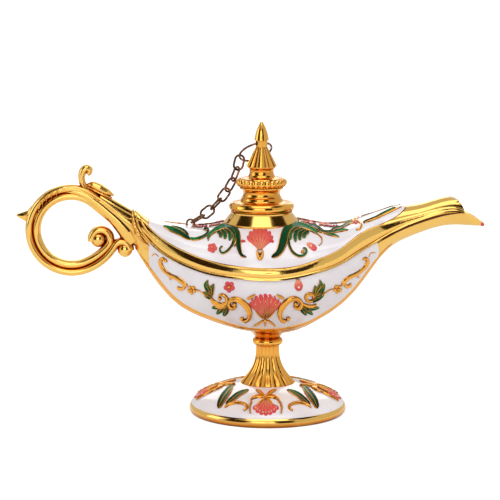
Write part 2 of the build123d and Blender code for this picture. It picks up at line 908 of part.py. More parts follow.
def strand(radius, tail, ball_radius, ball_share):
    """One strand: a straight shank from the stern, the loop, then the arcs of its scroll."""
    with BuildPart() as rod:
        with BuildLine(Plane.XZ) as path:
            start = math.radians(loop_start)
            near = (loop_centre[0] + radius * math.cos(start), loop_centre[1] + radius * math.sin(start))
            shank = (near[0] + shank_length * math.sin(start), near[1] - shank_length * math.cos(start))
            Line(shank, near)
            heading = math.radians(loop_start + loop_sweep)
            CenterArc(loop_centre, radius, loop_start, loop_sweep)
            end = (loop_centre[0] + radius * math.cos(heading), loop_centre[1] + radius * math.sin(heading))
            way = heading + math.pi / 2
            for bend, turn in tail:
                JernArc(start=end, tangent=(math.cos(way), math.sin(way)), radius=bend, arc_size=turn)
                side = 1 if turn > 0 else -1
                hub = (end[0] - side * bend * math.sin(way), end[1] + side * bend * math.cos(way))
                way += math.radians(turn)
                end = (hub[0] + side * bend * math.sin(way), hub[1] - side * bend * math.cos(way))
        with BuildSketch(Plane(origin=(shank[0], 0, shank[1]), x_dir=(0, 1, 0), z_dir=path.line % 0)):
            Ellipse(strand_depth, strand_half)
        sweep()
        ball = (hub[0] + ball_share * (end[0] - hub[0]), hub[1] + ball_share * (end[1] - hub[1]))
        with Locations((ball[0], 0, ball[1])):
            Sphere(ball_radius)
    return rod.part


def lofted(rows, base, size, depth):
    """Solid through upright ellipses, each given by its lower and upper point and its depth."""
    with BuildPart() as piece:
        for low_x, low_z, high_x, high_z, depth_share in rows:
            low = Vector(base[0] + size * low_x, 0, base[1] + size * low_z)
            high = Vector(base[0] + size * high_x, 0, base[1] + size * high_z)
            rise = high - low
            facing = rise.cross(Vector(0, 1, 0))
            with BuildSketch(Plane(origin=(low + high) / 2, x_dir=(0, 1, 0), z_dir=facing)):
                Ellipse(depth * depth_share, rise.length / 2)
        loft()
    return piece.part


outer_strand = strand(
    loop_radius + strand_spacing / 2,
    zip((outer_tail_radius, outer_hook_radius), outer_turns),
    outer_ball_radius,
    outer_ball_share,
)
inner_strand = strand(
    loop_radius - strand_spacing / 2,
    zip((inner_tail_radius, inner_turn_radius, inner_curl_radius), inner_turns),
    inner_ball_radius,
    inner_ball_share,
)
spur_tip = (-handle_reach, loop_height + spur_height)
with BuildPart() as handle:
    add(outer_strand)
    add(inner_strand)
    add(lofted(strap_shares, loop_centre, loop_radius, strap_depth))
    add(lofted(spur_shares, spur_tip, spur_length, spur_depth))
    for other in (outer_body, band_solid, lip_solid, bowl_enamel.part, cover_enamel.part):
        add(other, mode=Mode.SUBTRACT)
    add(handle_rivet.part, mode=Mode.SUBTRACT)
handle.part.label = "handle"

# Thumb leaf: a curled thumb piece and the leaf that lies beside it on the top of the loop.
thumb_base = (-loop_offset + thumb_offset, loop_height + loop_radius + strand_spacing / 2 + strand_half)
leaf_start = thumb_height * leaf_start_share
leaf_base = (thumb_base[0] + leaf_start, thumb_base[1] - leaf_start)
with BuildPart() as thumb_leaf:
    with BuildSketch(Plane.XZ):
        with BuildLine():
            points = placed(thumb_shares, thumb_base, thumb_height)
            Spline(*points)
            Line(points[-1], points[0])
        make_face()
    extrude(amount=thumb_depth, both=True)
    with BuildSketch(Plane.XZ):
        with BuildLine():
            points = placed(leaf_shares, leaf_base, leaf_length)
            Spline(*points)
            Line(points[-1], points[0])
        make_face()
    extrude(amount=leaf_depth, both=True)
    add(handle.part, mode=Mode.SUBTRACT)
thumb_leaf.part.label = "thumb_leaf"

# Ring through the finial's neck, hanging behind the cone.
droop = math.radians(ring_droop)
level = Vector(-hole_axis.Y, hole_axis.X, 0)
ring_way = level * math.cos(droop) - Vector(0, 0, math.sin(droop))
ring_bow = cone_top_radius**2 / (4 * ring_radius)
ring_centre = hole_centre + ring_way * (ring_radius - ring_bow)
with BuildPart() as neck_ring:
    with Locations(Plane(origin=ring_centre, x_dir=hole_axis, z_dir=hole_axis.cross(ring_way))):
        Torus(ring_radius, ring_wire / 2)
neck_ring.part.label = "neck_ring"
hang = math.radians(ring_hang)
ring_point = ring_centre + hole_axis * (ring_radius * math.cos(hang))
ring_point += ring_way * (ring_radius * math.sin(hang))

# Chain: links on an arc that hangs between the eye and the ring.
eye_hub = Vector(eye_centre[0], 0, eye_centre[1])


def chain_joints():
    """Points where the links meet, from the eye to the ring, and the normal of the chain's plane."""
    first_way = last_way = (ring_point - eye_hub).normalized()
    for _ in range(5):
        first = eye_hub + first_way * (eye_radius - (gap + eye_wire) / 2)
        last = ring_point + last_way * ((gap + ring_wire) / 2)
        chord = last - first
        along = chord.normalized()
        across = along.cross(Vector(0, 0, 1)).normalized()
        lift = across.cross(along)
        sag = chain_sag_share * chord.length
        bend = (chord.length**2 / 4 + sag**2) / (2 * sag)
        half = math.asin(chord.length / 2 / bend)
        hub = (first + last) / 2 + lift * (bend - sag)
        points = []
        for index in range(link_count + 1):
            angle = half * (2 * index / link_count - 1)
            points.append(hub - lift * (bend * math.cos(angle)) + along * (bend * math.sin(angle)))
        first_way = (points[1] - points[0]).normalized()
        last_way = (points[-1] - points[-2]).normalized()
    return points, across


def chain_link(start, end, across, roll):
    """Oval link between two joint points, rolled about its length."""
    along = (end - start).normalized()
    pitch = (end - start).length
    side = along.cross(across)
    turn = math.radians(roll)
    normal = across * math.cos(turn) + side * math.sin(turn)
    half_width = (link_width - wire) / 2
    half_run = (pitch + gap + wire) / 2 - half_width
    with BuildPart() as link:
        with BuildLine(Plane(origin=(start + end) / 2, x_dir=along, z_dir=normal)) as loop:
            Line((0, half_width), (half_run, half_width))
            CenterArc((half_run, 0), half_width, 90, -180)
            Line((half_run, -half_width), (-half_run, -half_width))
            CenterArc((-half_run, 0), half_width, -90, -180)
            Line((-half_run, half_width), (0, half_width))
        with BuildSketch(Plane(origin=loop.line @ 0, z_dir=along)):
            Circle(wire / 2)
        sweep()
    return link.part


joints, chain_normal = chain_joints()
links = []
for index in range(link_count):
    with BuildPart() as link:
        add(chain_link(joints[index], joints[index + 1], chain_normal, 90 + link_twist * index))
    link.part.label = f"chain_link_{index + 1}"
    links.append(link)

os.makedirs("parts", exist_ok=True)
pieces = [
    foot,
    foot_enamel,
    base_pad,
    stem,
    knop,
    bowl_socket,
    foot_washer,
    foot_screw,
    bowl,
    bowl_enamel,
    drilled_cover,
    cover_enamel,
    bowl_ornament,
    cover_ornament,
    collar,
    handle,
    handle_rivet,
    thumb_leaf,
    chain_eye,
    lid_base,
    lid_drum,
    bead_ring,
    lid_neck,
    fluted_cone,
    finial,
    lid_screw,
    neck_ring,
    *links,
]
for piece in pieces:
    solids = len(piece.part.solids())
    print(f"{piece.part.label}: {solids} solids, {piece.part.volume:.1f} mm3, valid {piece.part.is_valid}")
    export_step(piece.part, f"parts/{piece.part.label}.step")

print("hole", [round(v, 3) for v in hole_centre], [round(v, 4) for v in hole_axis])
print("ring point", [round(v, 3) for v in ring_point])
print("chain normal", [round(v, 4) for v in chain_normal])
for index, point in enumerate(joints):
    print("chain joint", index, [round(v, 3) for v in point])
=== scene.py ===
# %% [markdown]
# # A genie oil lamp in gilt brass and enamel
# The lamp comes out of CAD as separate brass castings and white enamel skins, already in place.
# Blender dresses them: it gives every casting its finish, and lays the raised enamelled ornament
# of shells, leaves and scrolls on the skins. The castings are read first, because every ornament
# is seated on them by casting rays at their surfaces.
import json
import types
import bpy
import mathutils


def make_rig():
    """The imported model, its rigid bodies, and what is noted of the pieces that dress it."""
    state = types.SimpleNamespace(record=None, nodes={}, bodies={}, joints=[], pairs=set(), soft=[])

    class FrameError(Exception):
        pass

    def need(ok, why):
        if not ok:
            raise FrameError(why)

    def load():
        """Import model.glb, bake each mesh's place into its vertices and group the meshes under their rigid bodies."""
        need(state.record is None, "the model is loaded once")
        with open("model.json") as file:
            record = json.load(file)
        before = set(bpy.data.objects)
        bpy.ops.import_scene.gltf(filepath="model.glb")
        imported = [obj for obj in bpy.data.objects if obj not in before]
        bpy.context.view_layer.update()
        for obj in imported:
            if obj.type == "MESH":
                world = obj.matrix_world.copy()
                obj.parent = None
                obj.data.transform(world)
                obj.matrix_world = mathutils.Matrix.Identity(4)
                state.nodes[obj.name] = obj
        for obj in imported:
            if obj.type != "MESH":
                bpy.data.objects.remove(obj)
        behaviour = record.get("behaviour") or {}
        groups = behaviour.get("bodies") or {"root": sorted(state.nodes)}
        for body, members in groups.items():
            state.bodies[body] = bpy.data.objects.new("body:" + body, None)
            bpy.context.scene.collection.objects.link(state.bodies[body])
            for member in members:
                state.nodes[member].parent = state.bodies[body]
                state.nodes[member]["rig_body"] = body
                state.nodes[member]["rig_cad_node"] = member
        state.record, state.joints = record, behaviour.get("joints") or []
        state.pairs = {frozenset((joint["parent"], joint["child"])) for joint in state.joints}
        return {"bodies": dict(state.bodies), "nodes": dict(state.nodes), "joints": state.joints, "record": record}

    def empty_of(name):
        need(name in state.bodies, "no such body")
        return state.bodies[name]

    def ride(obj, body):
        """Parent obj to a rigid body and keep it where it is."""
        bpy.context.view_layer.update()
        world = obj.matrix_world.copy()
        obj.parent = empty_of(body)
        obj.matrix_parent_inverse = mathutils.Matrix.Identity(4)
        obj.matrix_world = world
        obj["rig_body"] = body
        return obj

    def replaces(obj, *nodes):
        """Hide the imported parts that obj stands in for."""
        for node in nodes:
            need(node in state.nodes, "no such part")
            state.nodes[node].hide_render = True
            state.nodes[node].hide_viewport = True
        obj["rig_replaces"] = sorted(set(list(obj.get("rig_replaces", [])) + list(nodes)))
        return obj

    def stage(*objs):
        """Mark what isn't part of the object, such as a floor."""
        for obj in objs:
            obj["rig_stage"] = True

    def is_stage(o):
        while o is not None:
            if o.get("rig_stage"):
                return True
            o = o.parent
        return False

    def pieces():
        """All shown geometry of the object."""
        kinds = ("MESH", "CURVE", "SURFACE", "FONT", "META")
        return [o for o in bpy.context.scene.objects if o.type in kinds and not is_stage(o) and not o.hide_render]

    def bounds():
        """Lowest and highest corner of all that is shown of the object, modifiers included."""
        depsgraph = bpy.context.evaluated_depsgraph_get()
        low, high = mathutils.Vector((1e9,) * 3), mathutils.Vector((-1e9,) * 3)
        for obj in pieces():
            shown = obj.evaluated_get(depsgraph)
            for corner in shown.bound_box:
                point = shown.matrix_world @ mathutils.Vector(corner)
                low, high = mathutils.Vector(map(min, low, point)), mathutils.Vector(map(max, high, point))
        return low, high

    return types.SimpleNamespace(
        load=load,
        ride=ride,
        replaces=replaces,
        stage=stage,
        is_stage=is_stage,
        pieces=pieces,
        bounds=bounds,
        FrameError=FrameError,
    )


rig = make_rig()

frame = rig.load()
cad_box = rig.bounds()

import json
import math

import bmesh
import bpy
from mathutils import Matrix, Vector
from mathutils.bvhtree import BVHTree

MM = 0.001
nodes = frame["nodes"]
print("castings:", len(nodes), "box in mm:", [round(c / MM, 1) for c in (*cad_box[0], *cad_box[1])])

# %% [markdown]
# ## The camera
# The lamp is looked at from the front and a little above, from about the distance of a long lens,
# so its ellipses are shallow. The focal length is kept in pixels of the 500 pixel frame, because
# the ornament is laid out in those pixels later, and both have to use the same camera.

# %% Place the camera
PICTURE = 500
FOCAL = 2029
SENSOR = 36
TILT = math.radians(8.99)
EYE = Vector((-7.96, -900, 216)) * MM


def stand(name, data):
    """Puts a mesh, a lamp or a camera into the scene as an object."""
    made = bpy.data.objects.new(name, data)
    bpy.context.scene.collection.objects.link(made)
    return made


camera = stand("camera", bpy.data.cameras.new("camera"))
camera.location = EYE
camera.rotation_euler = (math.pi / 2 - TILT, 0, 0)
camera.data.sensor_width = SENSOR
camera.data.lens = FOCAL / PICTURE * SENSOR
bpy.context.scene.camera = camera
bpy.context.scene.view_settings.view_transform = "Standard"


def sight(u, v):
    """The direction from the camera through a pixel."""
    right, down = (u - PICTURE / 2) / FOCAL, (v - PICTURE / 2) / FOCAL
    ahead = Vector((0, math.cos(TILT), -math.sin(TILT)))
    up = Vector((0, math.sin(TILT), math.cos(TILT)))
    return (ahead + Vector((1, 0, 0)) * right - up * down).normalized()


print("lens in mm:", round(camera.data.lens, 1))

# %% [markdown]
# ## Writing finishes as sums
# A finish is a graph of nodes, and long graphs are hard to read. Here a socket is wrapped in a
# small class, so that a finish reads as a sum: `1 - wear` adds its own Math node. Colours go
# through a Mix node instead, because a Math node would turn them grey.

# %% A socket that can be added and multiplied
class Wire:
    def __init__(self, finish, socket):
        self.finish, self.socket = finish, socket

    def sum(self, operation, first, second):
        return self.finish.node("ShaderNodeMath", {"operation": operation}, {0: first, 1: second})

    def __add__(self, other):
        return self.sum("ADD", self, other)

    def __sub__(self, other):
        return self.sum("SUBTRACT", self, other)

    def __rsub__(self, other):
        return self.sum("SUBTRACT", other, self)

    def __mul__(self, other):
        return self.sum("MULTIPLY", self, other)

    __radd__ = __add__

    def least(self, other):
        return self.sum("MINIMUM", self, other)

    def most(self, other):
        return self.sum("MAXIMUM", self, other)

    def step(self, low, high):
        """0 below low, 1 above high, and smooth between."""
        settings = {"interpolation_type": "SMOOTHSTEP", "clamp": True}
        sockets = {"Value": self, "From Min": low, "From Max": high}
        return self.finish.node("ShaderNodeMapRange", settings, sockets)


# %% A finish: one material and its nodes
# A Mix node keeps its colour sockets under these numbers.
COLOUR_A, COLOUR_B, COLOUR_OUT = 6, 7, 2
CORNER_SAMPLES = 6


class Finish:
    def __init__(self, name):
        self.material = bpy.data.materials.new(name)
        self.material.use_nodes = True
        self.tree = self.material.node_tree
        self.tree.nodes.clear()

    def node(self, kind, settings={}, sockets={}, out=0):
        """Adds a node, sets it, wires it up, and gives the socket that it puts out."""
        made = self.tree.nodes.new(kind)
        for key, value in settings.items():
            if key == "stops":
                while len(made.color_ramp.elements) < len(value):
                    made.color_ramp.elements.new(0.5)
                for element, (place, colour) in zip(made.color_ramp.elements, value):
                    element.position, element.color = place, (*colour, 1)
            else:
                setattr(made, key, value)
        for key, value in sockets.items():
            if isinstance(value, Wire):
                self.tree.links.new(value.socket, made.inputs[key])
            else:
                made.inputs[key].default_value = value
        return Wire(self, made.outputs[out]) if len(made.outputs) else None

    def place(self):
        return self.node("ShaderNodeTexCoord", out="Object")

    def noise(self, size, detail=2):
        """Noise from 0 to 1 whose blots are about that size, in metres."""
        sockets = {"Vector": self.place(), "Scale": 1 / size, "Detail": detail}
        return self.node("ShaderNodeTexNoise", {}, sockets)

    def tint(self, mask, first, second):
        """The first colour where the mask is 0, the second where it is 1."""
        first, second = (c if isinstance(c, Wire) else (*c, 1) for c in (first, second))
        sockets = {0: mask, COLOUR_A: first, COLOUR_B: second}
        return self.node("ShaderNodeMix", {"data_type": "RGBA"}, sockets, COLOUR_OUT)

    def crevice(self, reach):
        """1 deep in a corner, 0 on open surfaces."""
        settings = {"samples": CORNER_SAMPLES}
        return 1 - self.node("ShaderNodeAmbientOcclusion", settings, {"Distance": reach}, "AO")

    def bump(self, height, depth, under=None):
        """A normal from a height of 0 to 1 that stands for that depth in metres."""
        sockets = {"Height": height, "Distance": depth, "Strength": 1.0}
        return self.node("ShaderNodeBump", {}, sockets | ({"Normal": under} if under else {}))

    def glow(self, colour, strength):
        return self.node("ShaderNodeEmission", {}, {"Color": (*colour, 1), "Strength": strength})

    def surface(self, **sockets):
        """Ends the finish with the Principled shader. Two words are joined by an underscore."""
        named = {key.replace("_", " "): value for key, value in sockets.items()}
        self.end(self.node("ShaderNodeBsdfPrincipled", {}, named))
        return self.material

    def end(self, shader):
        self.node("ShaderNodeOutputMaterial", {}, {"Surface": shader})


def written(red, green, blue):
    """A colour as an eye dropper reads it, 0 to 255, turned into the light it stands for."""
    return tuple(c / 255 / 12.92 if c <= 10 else ((c / 255 + 0.055) / 1.055) ** 2.4
                 for c in (red, green, blue))


print("a mid grey of 128 is", round(written(128, 128, 128)[0], 3), "of full light")

# %% [markdown]
# ## Studio
# Polished gold shows the room more than itself: it looks yellow where it mirrors a window, amber
# where it mirrors the pale tent, and brown where it mirrors something dark. So the room is a
# white tent with three soft lamps. Around it stand four windows and a few dark cards that only
# reflections show. Their edges draw the long bright and dark lines that make gold look like gold.
# The floor is white, and keeps a soft shadow.

# %% White tent
TENT_LIGHT = 0.55
TENT_MIRRORED = 0.66

world = bpy.data.worlds.new("tent")
bpy.context.scene.world = world
world.use_nodes = True


class Tent(Finish):
    def __init__(self, made):
        self.material, self.tree = made, made.node_tree
        self.tree.nodes.clear()


tent = Tent(world)
seen = tent.node("ShaderNodeLightPath", out="Is Camera Ray")
mirrored = tent.node("ShaderNodeLightPath", out="Is Glossy Ray")
through = tent.node("ShaderNodeLightPath", out="Is Transmission Ray")
shown = (seen + mirrored + through).least(1)
strength = seen.most(through) + mirrored * TENT_MIRRORED + (1 - shown) * TENT_LIGHT
white_light = tent.node("ShaderNodeBackground", {}, {"Color": (1, 1, 1, 1), "Strength": strength})
tent.node("ShaderNodeOutputWorld", {}, {"Surface": white_light})
print("tent:", TENT_LIGHT, "as light,", TENT_MIRRORED, "in a mirror")

# %% White floor that keeps its shadow
FLOOR_REACH, FLOOR_DROP = 6.0, 0.0001
PAPER, CLEAN_PAPER, DUST = (0.80, 0.80, 0.80), (0.82, 0.82, 0.82), 0.05
FLOOR_SEEN, FLOOR_MIRRORED = 0.6, 0.15


def square(name, wide, high, finish):
    """A flat sheet about its own middle, in metres."""
    mesh = bpy.data.meshes.new(name)
    corners = ((-1, -1), (1, -1), (1, 1), (-1, 1))
    mesh.from_pydata([(x * wide / 2, y * high / 2, 0) for x, y in corners], [], [(0, 1, 2, 3)])
    mesh.materials.append(finish)
    return stand(name, mesh)


floor_finish = Finish("white_floor")
seen = floor_finish.node("ShaderNodeLightPath", out="Is Camera Ray")
mirrored = floor_finish.node("ShaderNodeLightPath", out="Is Glossy Ray")
paper = floor_finish.tint(floor_finish.noise(DUST), PAPER, CLEAN_PAPER)
paper = floor_finish.node("ShaderNodeBsdfDiffuse", {}, {"Color": paper})
lift = floor_finish.glow((1, 1, 1), seen * FLOOR_SEEN + mirrored * FLOOR_MIRRORED)
floor_finish.end(floor_finish.node("ShaderNodeAddShader", {}, {0: paper, 1: lift}))

floor = square("floor", FLOOR_REACH * 2, FLOOR_REACH * 2, floor_finish.material)
floor.location.z = -FLOOR_DROP
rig.stage(floor)
print("floor:", FLOOR_REACH * 2, "metres wide")

# %% Soft lamps
MIDDLE = Vector((0, 0, 60))
# Name, place and size in mm, and power in watts.
LAMPS = (
    ("key", (-520, -800, 950), 900, 7),
    ("fill", (800, -620, 560), 700, 2.6),
    ("back", (100, 800, 900), 900, 2.6),
)


def set_up(made, place):
    """Stands a lamp or a panel at that place, in mm, turned to the middle of the lamp."""
    made.location = Vector(place) * MM
    made.rotation_euler = (MIDDLE - Vector(place)).to_track_quat("-Z", "Y").to_euler()


for name, place, size, watts in LAMPS:
    light = bpy.data.lights.new(name, "AREA")
    light.size, light.energy = size * MM, watts
    made = stand(name, light)
    made.visible_glossy = False
    set_up(made, place)
print("lamps:", [o.name for o in bpy.data.objects if o.type == "LIGHT"])


# %% Windows and cards that only reflections show
def plain_glow(name, colour, strength):
    f = Finish(name)
    f.end(f.glow(colour, strength))
    return f.material


dark_card = plain_glow("dark_card", written(46, 34, 22), strength=1.0)
window = plain_glow("window", (1, 1, 1), strength=2.0)
# Name, finish, place in mm, width and height in mm.
PANELS = (
    ("window_front", window, (0, -1000, 420), 900, 640),
    ("window_top", window, (0, -260, 980), 900, 700),
    ("window_back", window, (0, 1000, 500), 900, 500),
    ("window_left", window, (-980, -60, 380), 420, 560),
    ("card_low_left", dark_card, (-650, -580, 400), 540, 760),
    ("card_low_right", dark_card, (380, -812, 400), 470, 760),
    ("card_high_1", dark_card, (-500, -60, 800), 520, 440),
    ("card_high_3", dark_card, (500, -60, 800), 520, 440),
    ("card_camera", dark_card, (-10, -900, 330), 130, 130),
)
for name, finish, place, wide, high in PANELS:
    panel = square(name, wide * MM, high * MM, finish)
    set_up(panel, place)
    panel.visible_camera = panel.visible_diffuse = False
    panel.visible_shadow = panel.visible_transmission = False
    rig.stage(panel)
print("windows and cards:", len(PANELS))

# %% [markdown]
# ## Finishes
# The castings are gilt: brass with a thin warm gold over it, polished on the open faces and a
# little rougher in the hollows, where the polishing wheel did not reach. The hollows also get
# painted shade: where the occlusion mask finds a corner, the gold turns amber and then dark brown.
# Casting leaves broad shallow waves that break up the reflections, and that is what the bump adds.
# The lid and the stem get a redder copy of the gold than the body, as painted shade for their
# deeper orange. All sizes in the finishes are in metres, and their strengths and roughnesses are
# shares of 1.

# %% Gilt brass
# The amber on the next line is painted shade for the hollows, not a colour of the gilt.
GOLD, HOLLOW_SHADE_AMBER = written(250, 202, 108), written(214, 128, 40)
# A redder copy of the gold and of its painted hollow shade: painted shade for the lid and the stem.
SHADED_RED_GOLD, SHADED_RED_HOLLOW = written(250, 184, 82), written(206, 112, 30)
# The dark brown of the deepest painted shade in the hollows.
HOLLOW_SHADE_BROWN = written(88, 46, 14)
HOLLOW = 0.006
BLOT, GRAIN, CAST_WAVE = 0.012, 0.0009, 0.006
# Steps of the occlusion mask for the painted shade: amber from the first, dark brown from the second to the third.
SHADE_AMBER_FROM, SHADE_BROWN_FROM, SHADE_BROWN_FULL = 0.05, 0.55, 0.95
BLOT_FROM, BLOT_FULL, BLOT_SHARE, BLOT_SHADE = 0.45, 0.75, 0.25, 0.8
HOLLOW_ROUGH, GRAIN_ROUGH, GRAIN_DEPTH = 0.18, 0.05, 0.0000012


def gilt(name, shade, hollow_shade, polish=0.09, wave=0.000016):
    """Polished gold with painted shade in the hollows: amber, and then dark brown where they are deep."""
    f = Finish(name)
    deep = f.crevice(HOLLOW)
    cloud = f.noise(BLOT, detail=3)
    grain = f.noise(GRAIN, detail=4)
    # Painted shade: amber in the hollows, then dark brown where they are deep.
    warm = f.tint(deep.step(SHADE_AMBER_FROM, SHADE_BROWN_FROM), shade, hollow_shade)
    warm = f.tint(deep.step(SHADE_BROWN_FROM, SHADE_BROWN_FULL), warm, HOLLOW_SHADE_BROWN)
    blots = cloud.step(BLOT_FROM, BLOT_FULL) * BLOT_SHARE
    colour = f.tint(blots, warm, tuple(c * BLOT_SHADE for c in shade))
    rough = polish + deep * HOLLOW_ROUGH + grain * GRAIN_ROUGH
    broad = f.bump(f.noise(CAST_WAVE), wave)
    return f.surface(Base_Color=colour, Metallic=1.0, Roughness=rough,
                     Normal=f.bump(grain, GRAIN_DEPTH, broad))


gold = gilt("gilt_brass", GOLD, HOLLOW_SHADE_AMBER)
# The same gilt again, made redder as painted shade for the deeper orange of the lid and the stem.
shaded_gold_copy = gilt("warm_gilt", SHADED_RED_GOLD, SHADED_RED_HOLLOW)
print("golds:", gold.name, "and", shaded_gold_copy.name)

# %% White enamel
MILK, CLEAR_MILK = written(231, 223, 226), written(240, 235, 237)
MILK_CLOUD, MILK_FROM, MILK_FULL = 0.02, 0.35, 0.7
SPECK, SPECK_ROUGH, FIRED_ROUGH = 0.0011, 0.08, 0.12
PEEL, PEEL_DEPTH = 0.0035, 0.000008


def white_enamel():
    """Fired enamel: two whites in clouds, a slight orange peel, and a clear glaze on top."""
    f = Finish("white_enamel")
    cloud = f.noise(MILK_CLOUD, detail=3)
    speck = f.noise(SPECK)
    peel = f.bump(f.noise(PEEL), PEEL_DEPTH)
    return f.surface(Base_Color=f.tint(cloud.step(MILK_FROM, MILK_FULL), MILK, CLEAR_MILK),
                     Roughness=FIRED_ROUGH + speck * SPECK_ROUGH, Normal=peel,
                     Coat_Weight=0.6, Coat_Roughness=0.05, IOR=1.5)


white = white_enamel()
print("enamel:", white.name)

# %% Bronze chain, steel screws and the felt pad
BRONZE, RUBBED_BRONZE = written(96, 72, 58), written(190, 130, 90)
RUB, RUB_FROM, RUB_FULL, RUB_POLISH, BRONZE_ROUGH = 0.002, 0.45, 0.7, 0.1, 0.32
PIT, PIT_DEPTH = 0.0006, 0.00001
STEEL, BRIGHT_STEEL = written(150, 150, 152), written(190, 190, 194)
TURNED, TURNED_WANDER, TURNED_DEPTH = 900.0, 2.0, 0.000004
STEEL_ROUGH, LINE_ROUGH = 0.3, 0.1
FELT, PALE_FELT = written(24, 60, 42), written(46, 92, 66)
FLUFF, FLUFF_DEPTH, FELT_ROUGH = 0.0005, 0.0002, 0.95


def bronze():
    f = Finish("dark_bronze")
    rub = f.noise(RUB, detail=3).step(RUB_FROM, RUB_FULL)
    return f.surface(Base_Color=f.tint(rub, BRONZE, RUBBED_BRONZE), Metallic=1.0,
                     Roughness=BRONZE_ROUGH - rub * RUB_POLISH,
                     Normal=f.bump(f.noise(PIT, detail=3), PIT_DEPTH))


def steel():
    f = Finish("turned_steel")
    line = f.node("ShaderNodeTexWave", {"wave_type": "RINGS", "rings_direction": "Z"},
                  {"Vector": f.place(), "Scale": TURNED, "Distortion": TURNED_WANDER})
    return f.surface(Base_Color=f.tint(line, STEEL, BRIGHT_STEEL), Metallic=1.0,
                     Roughness=STEEL_ROUGH + line * LINE_ROUGH, Normal=f.bump(line, TURNED_DEPTH))


def felt():
    f = Finish("green_felt")
    fluff = f.noise(FLUFF, detail=6)
    return f.surface(Base_Color=f.tint(fluff, FELT, PALE_FELT), Roughness=FELT_ROUGH,
                     Normal=f.bump(fluff, FLUFF_DEPTH), Sheen_Weight=0.3)


bronze_finish, steel_finish, felt_finish = bronze(), steel(), felt()
print("small parts:", bronze_finish.name, steel_finish.name, felt_finish.name)

# %% Give every casting its finish
SKINS = ("foot_enamel", "bowl_enamel", "cover_enamel")
SCREWS = ("foot_screw", "foot_washer", "lid_screw")
TURNED_PARTS = ("lid_base", "lid_drum", "bead_ring", "lid_neck", "fluted_cone", "finial", "stem",
                "knop", "bowl_socket")

finish_of = {name: gold for name in nodes}
finish_of |= {name: white for name in SKINS}
finish_of |= {name: bronze_finish for name in nodes if name.startswith("chain_")}
finish_of |= {name: steel_finish for name in SCREWS}
# The turned parts get the redder copy of the gold, which is painted shade.
finish_of |= {name: shaded_gold_copy for name in TURNED_PARTS}
finish_of |= {"neck_ring": bronze_finish, "base_pad": felt_finish}
for name, made in nodes.items():
    made.data.materials.clear()
    made.data.materials.append(finish_of[name])
    for face in made.data.polygons:
        face.material_index = 0
print("finishes:", sorted({m.name for m in finish_of.values()}))

# %% [markdown]
# ## Raised ornament
# On the real lamp the ornament is cast with the body: low walls of metal stand up from the white
# ground, and coloured enamel is floated between them. Sculpting that by hand would take days, so
# each leaf, scroll and shell is drawn as a line with a width, in the pixels of the picture, and
# every point is then cast from the camera onto the enamel. The result is a real relief that sits
# on the curved surface and can be looked at from any side. The back is the mirror of the front.

# %% Cast points onto the castings
SLIDE, SLIDES = 0.5, 30
FACING = 0.8


def skin(*names):
    """A tree of the surfaces of those castings, for casting rays at them."""
    points, faces = [], []
    for name in names:
        mesh = nodes[name].data
        first = len(points)
        points += [v.co.copy() for v in mesh.vertices]
        faces += [[first + i for i in p.vertices] for p in mesh.polygons]
    return BVHTree.FromPolygons(points, faces)


def cast_front(tree):
    """Seats a pixel on the surface behind it. Past an edge it slides up or down to it."""
    def seat(u, v):
        for slide in sorted((k * SLIDE for k in range(-SLIDES, SLIDES + 1)), key=abs):
            way = sight(u, v + slide)
            point, normal, *_ = tree.ray_cast(EYE, way)
            if point:
                return point, (-normal if normal.dot(way) > 0 else normal)
        raise ValueError(f"pixel {u}, {v} is off the lamp")
    return seat


def gentle(seat, spread):
    """The same seat with its normal averaged over its neighbours, so that facets don't show."""
    def smoothed(u, v):
        point, normal = seat(u, v)
        for du, dv in ((-spread, 0), (spread, 0), (0, -spread), (0, spread)):
            try:
                near = seat(u + du, v + dv)
            except ValueError:
                continue
            if near[1].dot(normal) > FACING:
                normal = normal + near[1]
        return point, normal.normalized()
    return smoothed


hull_seat = gentle(cast_front(skin("bowl_enamel", "bowl")), spread=1.0)
deck_seat = gentle(cast_front(skin("cover_enamel", "cover")), spread=1.0)
foot_seat = gentle(cast_front(skin("foot_enamel", "foot")), spread=1.0)
print("middle of the bowl's front in mm:", [round(c / MM, 1) for c in hull_seat(265, 305)[0]])

# %% Smooth lines through a few points
FINE, TINY, ALMOST_ONE = 12, 1e-9, 0.9999


def curved(a, b, c, d, t):
    """A point between b and c on the curve that passes through all four."""
    return tuple(0.5 * (2 * b[i] + (c[i] - a[i]) * t
                        + (2 * a[i] - 5 * b[i] + 4 * c[i] - d[i]) * t * t
                        + (3 * b[i] - a[i] - 3 * c[i] + d[i]) * t ** 3) for i in (0, 1))


def along(points, spacing=0.7):
    """Places every so many pixels on a smooth line, each with its direction and its share."""
    ends = [points[0], *points, points[-1]]
    fine = [curved(*four, k / FINE) for four in zip(ends, ends[1:], ends[2:], ends[3:])
            for k in range(FINE)]
    fine.append(tuple(points[-1]))
    runs = [0]
    for a, b in zip(fine, fine[1:]):
        runs.append(runs[-1] + math.dist(a, b))
    count = max(4, round(runs[-1] / spacing))
    line = []
    for k in range(count + 1):
        want, i = runs[-1] * k / count, 0
        while i < len(fine) - 2 and runs[i + 1] < want:
            i += 1
        t = (want - runs[i]) / max(runs[i + 1] - runs[i], TINY)
        line.append([fine[i][j] + (fine[i + 1][j] - fine[i][j]) * t for j in (0, 1)])
    out = []
    for k, here in enumerate(line):
        a, b = line[max(k - 1, 0)], line[min(k + 1, count)]
        length = math.dist(a, b)
        out.append((here, ((b[0] - a[0]) / length, (b[1] - a[1]) / length), k / count))
    return out


def mix_along(values, share):
    """A value between the given ones, which are evenly spaced from 0 to 1."""
    place = min(share, ALMOST_ONE) * (len(values) - 1)
    low = int(place)
    return values[low] + (values[low + 1] - values[low]) * (place - low)


print("a line of 10 pixels gets", len(along([(0, 0), (10, 0)])), "places")

